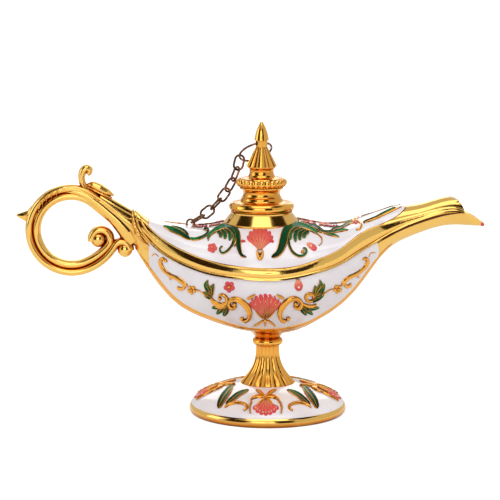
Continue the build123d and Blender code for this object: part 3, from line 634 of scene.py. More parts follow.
# %% [markdown]
# ### Sections
# A stroke of the relief is a section drawn out along a line. Wires and scrolls are all metal. A
# leaf has a metal wall on each side, green enamel between them, and a metal rib down its middle.
# Each section starts and ends a little below the surface, so that no gap shows under it.

# %% Sections of the relief
# Each row is the side from -1 to 1, the height from 0 to 1, and what the face after it is made of.
METAL, GREEN, CORAL, CREAM = 0, 1, 2, 3
SUNK = -0.3


def mirrored_section(half, middle, fill):
    """A section from its left half, its middle and what lies between each two rows."""
    rows = [*half, middle, *[(-side, high) for side, high in reversed(half)]]
    return [(side, high, part) for (side, high), part in zip(rows, fill)]


WIRE = mirrored_section(((-1, SUNK), (-0.86, 0.45), (-0.5, 0.86)), (0, 1), (METAL,) * 7)
SCROLL = [(side, high, METAL) for side, high in (
    (-1, SUNK), (-0.88, 0.5), (-0.62, 0.78), (-0.38, 0.55), (-0.15, 0.85), (0.25, 1), (0.62, 0.86),
    (0.88, 0.5), (1, SUNK))]
LEAF = mirrored_section(
    ((-1, SUNK), (-0.92, 0.72), (-0.84, 0.78), (-0.6, 0.5), (-0.3, 0.62), (-0.07, 0.5)), (0, 0.74),
    (METAL, METAL, GREEN, GREEN, GREEN, METAL, METAL, GREEN, GREEN, GREEN, METAL, METAL, METAL))
BLADE = mirrored_section(
    ((-1, SUNK), (-0.9, 0.75), (-0.8, 0.8), (-0.6, 0.5)), (0, 0.72),
    (METAL, METAL, GREEN, GREEN, GREEN, GREEN, METAL, METAL, METAL))
PETAL = mirrored_section(((-1, SUNK), (-0.85, 0.5), (-0.4, 0.85)), (0, 0.7), (CORAL,) * 7)
print("points across a wire, scroll, leaf, blade and petal:",
      [len(section) for section in (WIRE, SCROLL, LEAF, BLADE, PETAL)])

# %% [markdown]
# ### Coloured enamels
# The greens and corals are clear enamels over bright metal, so they are deep and glossy: dark
# where they pool at the root, and light where they thin out at the tip. Each relief carries its
# own share from root to tip, and the finish reads it as an attribute.

# %% Clear enamel over metal
CLOUD, CLOUD_SHARE, MIDDLE_STOP = 0.0022, 0.55, 0.55
POOL, POOL_GAIN, POOL_SHADE = 0.0012, 1.4, 0.25
RIPPLE, RIPPLE_DEPTH, GLASS_ROUGH, CLOUD_ROUGH = 0.0012, 0.00001, 0.14, 0.06


def clear_enamel(name, root, middle, tip, soak, veil=0.3, index=1.5):
    """Coloured glass: soak is how far it darkens in a corner, veil how much white it mirrors."""
    f = Finish(name)
    share = f.node("ShaderNodeAttribute", {"attribute_name": "shade"}, {}, "Fac")
    cloud = f.noise(CLOUD, detail=3)
    stops = [(0.0, root), (MIDDLE_STOP, middle), (1.0, tip)]
    place = share + (cloud - 0.5) * CLOUD_SHARE
    ramp = f.node("ShaderNodeValToRGB", {"stops": stops}, {"Fac": place})
    deep = (f.crevice(POOL) * POOL_GAIN).least(1)
    colour = f.tint(deep * soak, ramp, tuple(c * POOL_SHADE for c in root))
    return f.surface(Base_Color=colour, Roughness=GLASS_ROUGH + cloud * CLOUD_ROUGH,
                     Normal=f.bump(f.noise(RIPPLE), RIPPLE_DEPTH), Coat_Weight=veil,
                     Coat_Roughness=0.04, Specular_IOR_Level=veil, IOR=index)


green = clear_enamel("leaf_green_enamel", written(4, 36, 16), written(6, 72, 32),
                     written(20, 124, 62), soak=0.6, veil=0.08, index=1.25)
coral = clear_enamel("coral_enamel", written(244, 158, 120), written(226, 96, 84),
                     written(216, 66, 80), soak=0.5, veil=0.2, index=1.35)
cream = clear_enamel("cream_enamel", written(252, 226, 200), written(250, 220, 200),
                     written(250, 205, 190), soak=0.2)
# The relief's gold: its second colour is painted shade for the hollows between strokes.
gold_relief = gilt("gilt_relief", written(244, 174, 74), written(140, 70, 14), polish=0.16,
                   wave=0.000006)
ENAMELS = (gold_relief, green, coral, cream)
print("the relief is made of:", [m.name for m in ENAMELS])

# %% [markdown]
# ### Grids on the surface
# Every piece of relief is a grid of points. A point is given as a pixel and a height, and it is
# seated on the surface behind that pixel, so a grid that is drawn flat comes out wrapped round
# the lamp. All grids of one ornament become one mesh, like a wax model cast in one piece.

# %% Relief: grids of points that become one mesh
def smooth_mesh(name, points, faces):
    mesh = bpy.data.meshes.new(name)
    mesh.from_pydata(points, [], faces)
    mesh.polygons.foreach_set("use_smooth", [True] * len(faces))
    return mesh


class Relief:
    """Collects grids on one seat, and makes them one mesh with copies of it."""

    def __init__(self, seat):
        self.seat, self.points, self.faces, self.parts, self.shades = seat, [], [], [], []

    def grid(self, rows, parts, shades):
        """rows of (u, v, height in mm), what each face is made of, and each point's shade."""
        first, wide = len(self.points), len(rows[0])
        for row, row_shades in zip(rows, shades):
            for (u, v, height), shade in zip(row, row_shades):
                point, normal = self.seat(u, v)
                self.points.append(point + normal * (height * MM))
                self.shades.append(shade)
        for r in range(len(rows) - 1):
            for c in range(wide - 1):
                corner = first + r * wide + c
                self.faces.append((corner, corner + 1, corner + wide + 1, corner + wide))
                self.parts.append(parts[r][c])

    def make(self, name, copies):
        """One mesh for the relief and its copies. A mirrored copy has its faces turned round."""
        points, faces = [], []
        for turn in copies:
            first, mirrored = len(points), turn.to_3x3().determinant() < 0
            points += [turn @ p for p in self.points]
            faces += [tuple(first + i for i in f[::-1 if mirrored else 1]) for f in self.faces]
        mesh = smooth_mesh(name, points, faces)
        mesh.polygons.foreach_set("material_index", self.parts * len(copies))
        shade = mesh.attributes.new("shade", "FLOAT", "POINT")
        shade.data.foreach_set("value", self.shades * len(copies))
        for part in ENAMELS:
            mesh.materials.append(part)
        mesh.update()
        made = stand(name, mesh)
        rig.ride(made, "body")
        print(name, len(points), "points", len(faces), "faces")
        return made


FRONT = Matrix.Identity(4)
BACK = Matrix.Scale(-1, 4, (0, 1, 0))
OTHER_SIDE = Matrix.Scale(-1, 4, (1, 0, 0))

# %% Strokes: a section drawn out along a line
BLUNT = 0.004


def strip(relief, section, widths, lift, points, taper=(0.06, 0.06)):
    """A line in pixels with half widths along it and a height in mm. taper rounds its two ends."""
    rows, shades = [], []
    for (u, v), (du, dv), share in along(points):
        end = min(1, (share + BLUNT) / taper[0], (1 - share + BLUNT) / taper[1])
        rise = math.sqrt(end * (2 - end))
        half = mix_along(widths, share) * rise
        rows.append([(u - dv * half * side, v + du * half * side,
                      lift * (high * rise if high > 0 else high)) for side, high, _ in section])
        shades.append([share] * len(section))
    relief.grid(rows, [[part for _, _, part in section]] * len(rows), shades)


def draw(relief, strokes):
    """Strokes from a table: section, half widths, height, points, and a taper of their own."""
    for section, widths, lift, points, *taper in strokes:
        strip(relief, section, widths, lift, points, *taper)


# %% Balls and flowers
DOME = 1.25
PETALS, PETAL_LIFT, PETAL_RINGS, PETAL_SIDES = 5, 0.6, 4, 10


def ball(relief, u, v, radius, lift, part=METAL, rings=5, sides=14, shade=0.5):
    """A low dome in pixels."""
    turns = [math.tau * k / sides for k in range(sides + 1)]
    rows = []
    for k in range(rings + 1):
        out = radius * math.sin(math.pi / 2 * k / rings)
        high = lift * (math.cos(math.pi / 2 * k / rings) * DOME + SUNK * k / rings)
        rows.append([(u + out * math.cos(turn), v + out * math.sin(turn), high) for turn in turns])
    relief.grid(rows, [[part] * sides] * rings, [[shade] * (sides + 1)] * (rings + 1))


def flower(relief, u, v, size, spread, twist, part, shade, heart):
    """Round petals about a heart, whose settings are those of a ball."""
    for k in range(PETALS):
        turn = math.tau * (k + twist) / PETALS
        across, down = size * spread * math.cos(turn), size * spread * math.sin(turn)
        ball(relief, u + across, v + down, size, PETAL_LIFT, part, PETAL_RINGS, PETAL_SIDES, shade)
    ball(relief, u, v, *heart)


# %% Scalloped shells
# A shell is a fan of lobes. Between two lobes its rim draws in by a notch and its top sinks into
# a groove, which fades towards the rim. It swells from base to rim like a part of a half wave.
LOBE_STEPS, SHELL_RINGS = 10, 12
NOTCH, GROOVE, GROOVE_FADE = 0.09, 0.5, 0.4
SWELL_START, SWELL_RUN, SWELL_END = 0.12, 0.74, 0.93
SIDE_START, SIDE_RISE = 0.02, 1.6
RIB_BASE, RIB_FADE = 1.2, 0.4


def shell(relief, base, reach, turn, spread, lobes, lift, flat, ribs=0.14):
    """A shell from its base and reach in pixels, its turn and its half spread in degrees."""
    steps, shares = lobes * LOBE_STEPS, [r / SHELL_RINGS for r in range(SHELL_RINGS + 1)]
    rows, parts = [], []
    for k in range(steps + 1):
        share = k / steps
        angle = math.radians(turn + spread * (2 * share - 1))
        phase = abs((share * lobes) % 1 - 0.5) * 2
        edge = reach * (1 - flat * (2 * share - 1) ** 2) * (1 - NOTCH * phase ** 2)
        side = min(1, min(share, 1 - share) * lobes * SIDE_RISE + SIDE_START)
        row = []
        for out in shares:
            dome = math.sin(math.pi * min(SWELL_END, SWELL_START + out * SWELL_RUN))
            swell = dome * (1 - GROOVE * phase ** 3 * (1 - GROOVE_FADE * out)) * side
            across, down = edge * out * math.sin(angle), -edge * out * math.cos(angle)
            row.append((base[0] + across, base[1] + down, lift * (swell if out < 1 else SUNK)))
        rows.append(row)
        parts.append([METAL if phase > 1 - ribs * (RIB_BASE - RIB_FADE * out) else CORAL
                      for out in shares[:-1]])
    relief.grid(rows, parts, [shares] * len(rows))


print("steps across a shell of 7 lobes:", 7 * LOBE_STEPS, "and rings:", SHELL_RINGS)

# %% [markdown]
# ### Bowl
# A coral shell hangs at the middle of the bowl between two large C scrolls. Smaller scrolls and
# split leaves grow from them, and a thin gold vine runs up towards the handle and the spout.
# All tables hold pixels of the picture for places and half widths, and mm for heights.

# %% Bowl: the shell, its beads and the wires about it
hull = Relief(hull_seat)
shell(hull, (265.3, 319), reach=26.4, turn=0, spread=51, lobes=9, lift=0.75, flat=0.1, ribs=0.08)
BOWL_BEADS = ((249.4, 302), (253.4, 298.6), (258.4, 296.6), (263.4, 296), (268.4, 296),
              (273.4, 296.8), (278, 298.8), (281.4, 302.2), (255.4, 303.4), (260.4, 301.2),
              (265.6, 300.6), (270.8, 301.4), (275.6, 303.6))
for place in BOWL_BEADS:
    ball(hull, *place, radius=0.6, lift=0.95, part=CREAM, rings=3, sides=8)

THREAD, CHIN, HORN, TAIL = (0.5, 0.5, 0.2), (0.5, 0.9, 0.7), (1.5, 1.6, 1), (0.9, 1.1, 0.5)
SHELL_WIRES = (
    (WIRE, THREAD, 0.95, ((265.3, 318), (260.5, 309), (259.7, 303))),
    (WIRE, THREAD, 0.95, ((265.3, 318), (264.6, 311), (264.2, 309))),
    (WIRE, THREAD, 0.95, ((265.3, 318), (268.3, 309), (268.6, 304))),
    (WIRE, THREAD, 0.95, ((265.3, 318), (271.5, 310), (273.5, 305))),
    (WIRE, CHIN, 0.95, ((255.4, 310), (259.5, 315), (263.5, 318))),
    (WIRE, CHIN, 0.95, ((276, 309), (271, 315), (267, 318))),
    (WIRE, HORN, 0.9, ((247, 298.8), (251, 297), (255.4, 294.4))),
    (WIRE, HORN, 0.9, ((284, 299), (281, 297), (276.5, 294.6))),
    (WIRE, TAIL, 0.8, ((264, 320), (259.6, 322.6), (253.8, 325.9))),
    (WIRE, TAIL, 0.8, ((266.8, 320), (270.6, 322), (275.6, 325.9))),
    (WIRE, (0.9, 1.3, 0.5), 0.8, ((265.3, 320.5), (265.2, 323), (265, 326))),
)
draw(hull, SHELL_WIRES)
print("shell, beads and wires:", len(hull.faces), "faces")

# %% Bowl: scrolls
C_WIDTHS, C_LIFT, C_TAPER = (1.5, 1.8, 2.1, 2.4, 2.8, 3.1, 3.2, 2.8, 2.1, 1.5), 1.25, (0.03, 0.04)
LEFT_C = ((236.5, 305.5), (233.6, 308), (230.2, 306.8), (229, 302.6), (232.6, 299), (239, 300),
          (245.2, 304.6), (249.3, 311), (249.6, 316.6), (246.8, 320), (243, 320))
RIGHT_C = ((293.6, 305.5), (296.6, 308), (300, 306.6), (301, 302.4), (297, 298.8), (290.6, 299.2),
           (284.4, 304), (280.4, 310.4), (280, 316.4), (282.6, 320.2), (286.6, 320.4))
BOWL_SCROLLS = (
    (SCROLL, C_WIDTHS, C_LIFT, LEFT_C, C_TAPER),
    (SCROLL, C_WIDTHS, C_LIFT, RIGHT_C, C_TAPER),
    (SCROLL, (1.1, 2.2, 2.6, 2.3, 1.9, 1.5, 1.2), 1.05,
     ((210.6, 297.4), (214.5, 302.3), (221, 305), (226.4, 302.6), (226.6, 297.6), (222.8, 294.6),
      (218.6, 295.6))),
    (SCROLL, (1.2, 1.7, 1.9, 1.7, 1.3), 1,
     ((312.8, 300.6), (307.6, 300.8), (306, 296.6), (309, 293.6), (313, 295), (312.6, 298))),
    (WIRE, (1.1, 1.8, 1.7, 0.7), 0.95,
     ((301.4, 302.4), (305.6, 305), (311.4, 306), (316.4, 303.6))),
    (WIRE, (0.9, 1.3, 0.9), 0.8, ((215.4, 305.6), (221, 307.4), (227.4, 305.4))),
)
# Balls at the ends of the scrolls: place, radius, height.
BOWL_KNOBS = (
    (265.3, 320, 1.8, 0.9),
    (241.8, 318.6, 2.2, 1.05),
    (288.2, 318.4, 2.2, 1.05),
    (234.4, 304.2, 2.6, 1.1),
    (295.8, 303.8, 2.6, 1.1),
    (219.8, 298.6, 2.1, 0.9),
)
draw(hull, BOWL_SCROLLS)
for knob in BOWL_KNOBS:
    ball(hull, *knob)
print("scrolls:", len(BOWL_SCROLLS), "and knobs:", len(BOWL_KNOBS))

# %% Bowl: split leaves above and below the small scrolls
LOBE_WIDTHS = (1.1, 2.6, 3.1, 2.3, 0.4)
LOBES = (
    ((211.6, 296.6), (209.2, 290), (206.4, 284.6), (208.4, 279.6)),
    ((211.8, 296.4), (211.4, 290), (214.2, 283.4)),
    ((212.4, 298.4), (208.6, 295.6), (203.4, 291.6)),
    ((228, 306.6), (219.4, 306.2), (211.6, 307.6)),
    ((228, 307), (221.6, 309.2), (216.4, 314)),
    ((228.4, 307.4), (226, 311.4), (223.6, 316)),
    ((313.8, 299.8), (317.4, 292), (320.6, 285), (319.6, 279.4)),
    ((314.6, 299.4), (320.6, 291), (324.6, 283.4)),
    ((314.4, 299.6), (315.4, 291.6), (314.8, 285)),
    ((310.6, 301.6), (317.4, 297.6), (324.4, 293)),
    ((299, 305.6), (303.4, 310.6), (306.2, 315.2)),
    ((299.4, 305.4), (306.6, 309.4), (313, 314.6)),
    ((299.6, 305.2), (309.6, 307.4), (319.4, 307.4)),
)
for points in LOBES:
    strip(hull, LEAF, LOBE_WIDTHS, lift=0.7, points=points, taper=(0.1, 0.12))
print("leaf lobes:", len(LOBES))

# %% Bowl: flowers, a drop and the vines
# Place, petal radius, and what the petals are made of.
BOWL_FLOWERS = (
    (229.3, 286.8, 2.7, CORAL),
    (191.8, 289.8, 2.2, METAL),
    (337.6, 289, 2.2, METAL),
)
for u, v, size, part in BOWL_FLOWERS:
    flower(hull, u, v, size, spread=1.25, twist=0.3, part=part, shade=0.85,
           heart=(size * 0.75, 0.95))
DROP_EYE, SPOUT_DROP = (298.5, 287), (482.4, 224.4)
ball(hull, *DROP_EYE, radius=1.5, lift=0.95, part=CREAM)
ball(hull, *SPOUT_DROP, radius=1.9, lift=0.5, part=CORAL, shade=0.8)

TENDRIL, CURL = (0.4, 0.7, 0.6, 0.3), (0.4, 0.6, 0.4)
BOWL_VINES = (
    (PETAL, (1.6, 3.4, 4.6, 4.2, 1.8), 0.6,
     ((297.8, 279.6), (298.4, 283), (298.6, 286.4), (298.5, 291))),
    (WIRE, (0.6, 0.5), 0.6, ((295.6, 279), (298, 279.6), (300.2, 278.8))),
    (WIRE, (1.3, 1.9, 2, 1.8, 2, 2.3, 1.7), 0.95,
     ((167.4, 262), (163, 258.6), (160.6, 261), (161.6, 266), (165, 271), (170.4, 275),
      (177.4, 278.4), (183, 282.4), (187.6, 286.4))),
    (WIRE, (1.7, 1.5, 0.9), 0.8, ((174, 276.6), (171.4, 277.4), (169.8, 279.6))),
    (WIRE, (1.4, 2.1, 1.5), 0.8, ((185.6, 285), (183, 288.4), (179, 288.4), (178.4, 286))),
    (WIRE, TENDRIL, 0.6, ((208, 297), (203.4, 293.4), (199, 290.4), (194.6, 289))),
    (WIRE, TENDRIL, 0.6, ((320, 296), (325, 292.6), (330, 289.6), (334.6, 288.6))),
    (WIRE, (1.3, 1.9, 1.9, 1.8, 2, 2.2, 1.6), 0.95,
     ((362.4, 259.8), (366, 258.2), (367.6, 261.6), (365.2, 266.6), (361, 270.6), (355.6, 274.2),
      (349.4, 277.2), (344.6, 281), (341.4, 285.2))),
    (WIRE, (1.5, 1.3, 0.8), 0.8, ((354.6, 275), (357.2, 276), (359, 277.6))),
    (WIRE, (1.5, 2, 1.4), 0.8, ((343.6, 283.6), (346.6, 286.4), (349.8, 285.4), (350, 283))),
    (WIRE, CURL, 0.3, ((152, 256.4), (153.6, 254.2), (156.6, 254.6), (158.4, 257))),
    (WIRE, CURL, 0.3, ((369, 257), (370, 254), (373.4, 252.4), (376, 253.4))),
)
draw(hull, BOWL_VINES)
bowl_relief = hull.make("bowl_relief", [FRONT, BACK])
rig.replaces(bowl_relief, "bowl_ornament")

# %% [markdown]
# ### Cover
# The cover carries a larger coral shell under the collar, and on each side of it an acanthus leaf
# that bends over like a wave, with its fingers hanging inside the bend and a spiral below them.
# Behind the waves thin leaves run along the ridge, one way to the handle and one to the spout.

# %% Cover: shell and tassel
deck = Relief(deck_seat)
shell(deck, (260, 251), reach=25, turn=0, spread=50, lobes=7, lift=0.8, flat=0.26, ribs=0.04)
TASSEL = ((258, 249), (257.4, 252), (259, 258.4), (261.4, 257.6), (262.6, 252), (262, 249))
TASSEL_EYE = (260.2, 253.6)
strip(deck, WIRE, (0.7, 1.5, 1.9, 1.6, 0.4), lift=0.9, points=TASSEL)
ball(deck, *TASSEL_EYE, radius=1.5, lift=1)
# Buds at the sides of the shell, a larger and a smaller ball each: place, radius, height.
SIDE_BUDS = (
    (242.7, 241.2, 1.6, 0.6),
    (244.5, 241.2, 1.1, 0.5),
    (272.4, 241.4, 1.6, 0.6),
    (270.6, 241.4, 1.1, 0.5),
)
for bud in SIDE_BUDS:
    ball(deck, *bud, CORAL, shade=0.9)
print("shell, tassel and buds:", len(deck.faces), "faces")

# %% Cover: the two waves, their fingers and spirals
FINGER_WIDTHS = (1.1, 1.9, 2.1, 1.2)
COVER_WAVES = (
    (BLADE, (1.2, 1.8, 2.5, 3.4, 4.2, 4.3, 3.6, 2.8, 2.1, 1.7, 1), 0.8,
     ((246.4, 257.2), (241.4, 255), (239, 248), (237.8, 241), (236, 233), (231.5, 227.8),
      (226, 226.4), (219.5, 228.4), (212.8, 232.4), (208.6, 236.8), (208.4, 241))),
    (BLADE, (1.8, 3.2, 4.3, 4.6, 4.4, 4, 3.4, 2.8, 2.2, 1.5), 0.8,
     ((271.5, 257.4), (277, 254.5), (280.5, 250), (283.2, 242), (285.4, 232.8), (289.5, 227.2),
      (296.5, 225.2), (305, 227), (312.5, 230.4), (317.4, 234.2))),
    (WIRE, (0.8, 0.7, 0.5, 0.3), 0.6, ((317, 233.8), (321.4, 238), (321.6, 242.6), (318.4, 246.2))),
    (BLADE, (1.3, 1.2, 1.1, 1.1, 1, 0.7), 0.7,
     ((234.6, 236), (233.6, 241.4), (231.4, 246.6), (227.4, 251.2), (223, 253.4), (220.4, 251.4),
      (220.4, 248.2), (223, 246.2))),
    (BLADE, (1.3, 1.3, 1.3, 1.4, 1.3, 1), 0.7,
     ((288.6, 233), (288.4, 239.6), (289.6, 246.6), (292.8, 252.4), (298, 256), (303, 255.8),
      (306.2, 252.6), (305.6, 249.2), (302.6, 248.2))),
    (WIRE, (0.5, 1, 0.4), 0.9, ((236.4, 239), (236, 243), (234, 247))),
)
FINGERS = (
    ((216.6, 231.4), (219.4, 233), (220.8, 235.4), (220.2, 238)),
    ((219, 230.6), (223, 232), (225.2, 235), (224.6, 239.4)),
    ((222, 229.4), (227.4, 231), (230, 234.6), (229.6, 241)),
    ((226.6, 228.4), (231.6, 230.8), (233.8, 235), (234, 242)),
    ((302, 228.6), (295, 229.2), (290.6, 233), (290.6, 240)),
    ((304.4, 229.6), (298.6, 230.8), (295.2, 235), (295.6, 242.2)),
    ((306.4, 231), (302.6, 232.2), (299.8, 235), (300, 240.6)),
    ((309.4, 232.4), (306.2, 233.4), (304.2, 235.4), (304.4, 238.6)),
)
draw(deck, COVER_WAVES)
for points in FINGERS:
    strip(deck, BLADE, FINGER_WIDTHS, lift=0.85, points=points, taper=(0.2, 0.1))
SPIRAL_EYE = (302.6, 251.8)
ball(deck, *SPIRAL_EYE, radius=2, lift=0.8)
print("waves and spirals:", len(COVER_WAVES), "and fingers:", len(FINGERS))

# %% Cover: leaves along the ridge
RIDGE_WIDER = 1.3
RIDGE_LEAVES = (
    ((1.2, 1.2, 1, 1.2, 1.3, 1.2, 1),
     ((203.4, 229.6), (207.6, 229.6), (208, 232.6), (205.4, 235.6), (200.5, 238.2), (194, 239.6),
      (189.6, 238.2))),
    ((1.2, 1.8, 2.2, 2, 0.4),
     ((190.4, 239.6), (185, 236.6), (178, 232.4), (170, 229), (163, 226))),
    ((0.9, 1.2, 1, 0.3), ((188.4, 236), (184.4, 231.6), (178.4, 228.6), (171, 226.4))),
    ((1.2, 1.6, 1.4, 1.1, 1.2, 0.5),
     ((308, 226.6), (313.4, 226), (318.4, 228.8), (324, 232.4), (331, 234.8), (339.4, 237.2))),
    ((1, 1.3, 1.3, 1.2, 0.4),
     ((316, 229.8), (323, 232.2), (331, 232.4), (338, 231), (348.6, 230))),
    ((1, 1.2, 1.1, 0.9, 0.7),
     ((330, 232), (335.4, 228.8), (341.4, 227.4), (349, 223.6), (357, 221))),
    ((0.9, 1.1, 1.2, 1, 0.6),
     ((363, 222.8), (371, 220), (377.3, 217.4), (384, 213.6), (396, 207.4))),
)
RIDGE_WIRES = (
    (WIRE, (0.7, 1.2, 1.3, 1, 0.6), 0.8,
     ((352, 221.6), (358, 221), (361.2, 224.4), (360, 229), (356, 230.2))),
    (WIRE, (0.3, 0.9, 1, 0.9, 0.3), 0.5,
     ((366, 222.4), (376, 218.4), (386, 213.8), (394, 210.2), (402, 206.6))),
)
for widths, points in RIDGE_LEAVES:
    wider = [width * RIDGE_WIDER for width in widths]
    strip(deck, BLADE, wider, lift=0.65, points=points, taper=(0.08, 0.1))
draw(deck, RIDGE_WIRES)
print("ridge leaves:", len(RIDGE_LEAVES))

# %% Cover: flowers, a bud and the coral petals on the ridge
COVER_FLOWERS = ((212.3, 248, 2.5), (355.6, 221, 1.7))
for u, v, size in COVER_FLOWERS:
    flower(deck, u, v, size, spread=1.1, twist=0.1, part=CORAL, shade=0.7,
           heart=(size * 0.6, 0.9, CORAL, PETAL_RINGS, PETAL_SIDES, 0.4))
BUD = ((306.6, 243.6), (309.6, 245), (313.4, 247.6), (315.8, 250.4))
BUD_EYE = (311, 246.4)
strip(deck, PETAL, (1.2, 3, 3.4, 2.2), lift=0.6, points=BUD)
ball(deck, *BUD_EYE, radius=1.2, lift=1, part=CREAM, rings=3, sides=10)

PETAL_WIDTHS = (0.6, 1.6, 1.5, 0.6)
RIDGE_PETALS = (
    ((192, 225.4), (200, 223), (208, 221.2)),
    ((209, 221.6), (216, 219.8), (224, 218.8)),
    ((300, 217.4), (308, 219.4), (316, 221.4)),
    ((318, 222), (327, 222.4), (338, 220.6)),
)
for points in RIDGE_PETALS:
    strip(deck, PETAL, PETAL_WIDTHS, lift=0.6, points=points)
cover_relief = deck.make("cover_relief", [FRONT, BACK])
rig.replaces(cover_relief, "cover_ornament")

# %% [markdown]
# ### Foot
# Four shells stand round the foot, each under a gold crown of thin petals, with pairs of long
# leaves between them. Only the front shell and one pair are drawn, and the rest are turned or
# mirrored copies, as a caster would repeat one model round the wax.

# %% Foot: one shell with its beads and crown
FOOT_SHELL, CROWN_KNOB = (265.8, 399.4), (265.5, 397.6)
FOOT_BEADS, BEAD_REACH, BEAD_SPREAD = 9, 13.6, 100
CROWN_WIDTHS, END_WIDTHS = (0.9, 1.9, 1.7, 0.5), (1, 1.2, 0.8)
CROWN = (
    ((265, 398), (258.6, 396.6), (252.6, 398.4), (250.4, 401.4)),
    ((264.6, 397), (260, 392.6), (255.6, 390)),
    ((266, 397), (270.8, 392.6), (276.2, 390)),
    ((266, 398), (272.4, 396.8), (277.6, 399), (279.6, 403.4)),
    ((265.4, 398), (262, 401.6), (257, 405.4)),
    ((265.6, 398), (269.4, 401.4), (272.4, 406.4)),
)
CROWN_ENDS = (
    (WIRE, END_WIDTHS, 0.9, ((279.4, 401), (281.6, 407), (281, 414))),
    (WIRE, END_WIDTHS, 0.9, ((252, 401), (249.8, 407), (250.4, 414))),
)

foot_fan = Relief(foot_seat)
shell(foot_fan, FOOT_SHELL, reach=17, turn=180, spread=62, lobes=7, lift=0.8, flat=0.02)
for k in range(FOOT_BEADS):
    turn = math.radians(180 - BEAD_SPREAD / 2 + BEAD_SPREAD * k / (FOOT_BEADS - 1))
    across, down = BEAD_REACH * math.sin(turn), -BEAD_REACH * math.cos(turn)
    ball(foot_fan, FOOT_SHELL[0] + across, FOOT_SHELL[1] + down, radius=0.7, lift=0.9, part=CREAM,
         rings=3, sides=8)
ball(foot_fan, *CROWN_KNOB, radius=2.2, lift=1.1)
for points in CROWN:
    strip(foot_fan, WIRE, CROWN_WIDTHS, lift=1, points=points)
draw(foot_fan, CROWN_ENDS)
QUARTERS = [Matrix.Rotation(math.radians(90 * k), 4, "Z") for k in range(4)]
foot_fan.make("foot_shells", QUARTERS)

# %% Foot: one pair of leaves
LEAF_WIDER = 1.25
LEAF_SCROLL = ((224.6, 408), (230, 404.2), (238, 402.8), (245, 404.6), (247, 407.6), (243.4, 411.2))
FOOT_LEAVES = (
    ((1.6, 2.8, 3.2, 2.5, 0.4), ((218.6, 408.6), (221.6, 401), (227, 393), (233.8, 384.6))),
    ((1.2, 2, 2.3, 1.8, 0.4), ((226, 405), (231.4, 400.4), (239, 394.6), (249, 390))),
)
foot_leaf = Relief(foot_seat)
for widths, points in FOOT_LEAVES:
    wider = [width * LEAF_WIDER for width in widths]
    strip(foot_leaf, LEAF, wider, lift=0.75, points=points, taper=(0.1, 0.1))
strip(foot_leaf, SCROLL, (0.8, 1.5, 1.7, 1.5, 1), lift=0.85, points=LEAF_SCROLL)
foot_leaf.make("foot_leaves", [FRONT, BACK, OTHER_SIDE, BACK @ OTHER_SIDE])

# %% [markdown]
# ### Handle
# The handle is cast with its own leaves: a long one that lies over its top and spreads out to the
# body, a hooked one at the spur, and short overlapping scales between them. Thin lines mark the
# edges of the strap where it grips the body. The thumb piece is a small scroll with a leaf behind
# it. Leaves and curls stand free of any surface, so they are rods with a changing section, bent in
# the middle plane. Lines follow the surface, and their depth is read from it.

# %% Points of the middle plane, and rods with a changing section
def on_depth(u, v, y):
    """The point that a pixel shows at that depth. A depth of 0 is the lamp's middle plane."""
    way = sight(u, v)
    return EYE + way * ((y - EYE.y) / way.y)


def rod(name, points, across, deep, sides=20):
    """A rod through those points: half its width in the side view, and half its depth, in mm."""
    verts, faces, last = [], [], len(points) - 1
    for k, here in enumerate(points):
        run = (points[min(k + 1, last)] - points[max(k - 1, 0)]).normalized()
        rise = run.cross(Vector((0, 1, 0))).normalized()
        level = rise.cross(run)
        wide, thick = mix_along(across, k / last) * MM, mix_along(deep, k / last) * MM
        for j in range(sides):
            turn = math.tau * j / sides
            verts.append(here + rise * (wide * math.cos(turn)) + level * (thick * math.sin(turn)))
    for k in range(last):
        for j in range(sides):
            a, b = k * sides + j, k * sides + (j + 1) % sides
            faces.append((a, b, b + sides, a + sides))
    faces += [tuple(reversed(range(sides))), tuple(range(last * sides, last * sides + sides))]
    return smooth_mesh(name, verts, faces)


ROD_STEP, LINE_STEP, LINE_REACH, LINE_SIDES = 0.5, 0.6, 5, 10


def smooth_rod(name, pixels, across, deep):
    """A rod in the middle plane, through pixels of the picture."""
    return rod(name, [on_depth(*here, 0) for here, _, _ in along(pixels, ROD_STEP)], across, deep)


def laid(name, seat, pixels, across):
    """Two thin rods on the front and the back surface, whose depth changes smoothly, in mm."""
    line = [here for here, _, _ in along(pixels, LINE_STEP)]
    depths = [seat(*here)[0].y for here in line]
    points = []
    for k, here in enumerate(line):
        near = depths[max(k - LINE_REACH, 0):k + LINE_REACH + 1]
        points.append(on_depth(*here, min(sum(near) / len(near), depths[k])))
    return [rod(name, [side @ point for point in points], across, across, LINE_SIDES)
            for side in (FRONT, BACK)]


def joined(name, rods, finish=gold):
    """Several rods made one mesh, outside faces out."""
    whole = bmesh.new()
    for mesh in rods:
        whole.from_mesh(mesh)
        bpy.data.meshes.remove(mesh)
    bmesh.ops.recalc_face_normals(whole, faces=whole.faces)
    mesh = bpy.data.meshes.new(name)
    whole.to_mesh(mesh)
    whole.free()
    mesh.materials.append(finish)
    made = stand(name, mesh)
    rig.ride(made, "body")
    print(name, len(mesh.vertices), "points")
    return made


print("the middle of the picture on the middle plane, in mm:",
      [round(c / MM, 1) for c in on_depth(PICTURE / 2, PICTURE / 2, 0)])

# %% Scales down the handle
SCALES = (
    ((58.6, 189.6), (56.4, 193), (57.4, 197.4)),
    ((53.6, 191), (51, 194.8), (52, 199.4)),
    ((48.8, 193.6), (46, 198), (46.8, 202.8)),
    ((44.6, 197.4), (42, 202.4), (42.6, 207)),
    ((41, 202), (38.8, 207.4), (39.2, 212)),
)
strap = Relief(gentle(cast_front(skin("handle")), spread=0.6))
for points in SCALES:
    strip(strap, WIRE, widths=(0.3, 1.1, 0.6), lift=0.6, points=points)
strap.make("handle_carving", [FRONT, BACK])

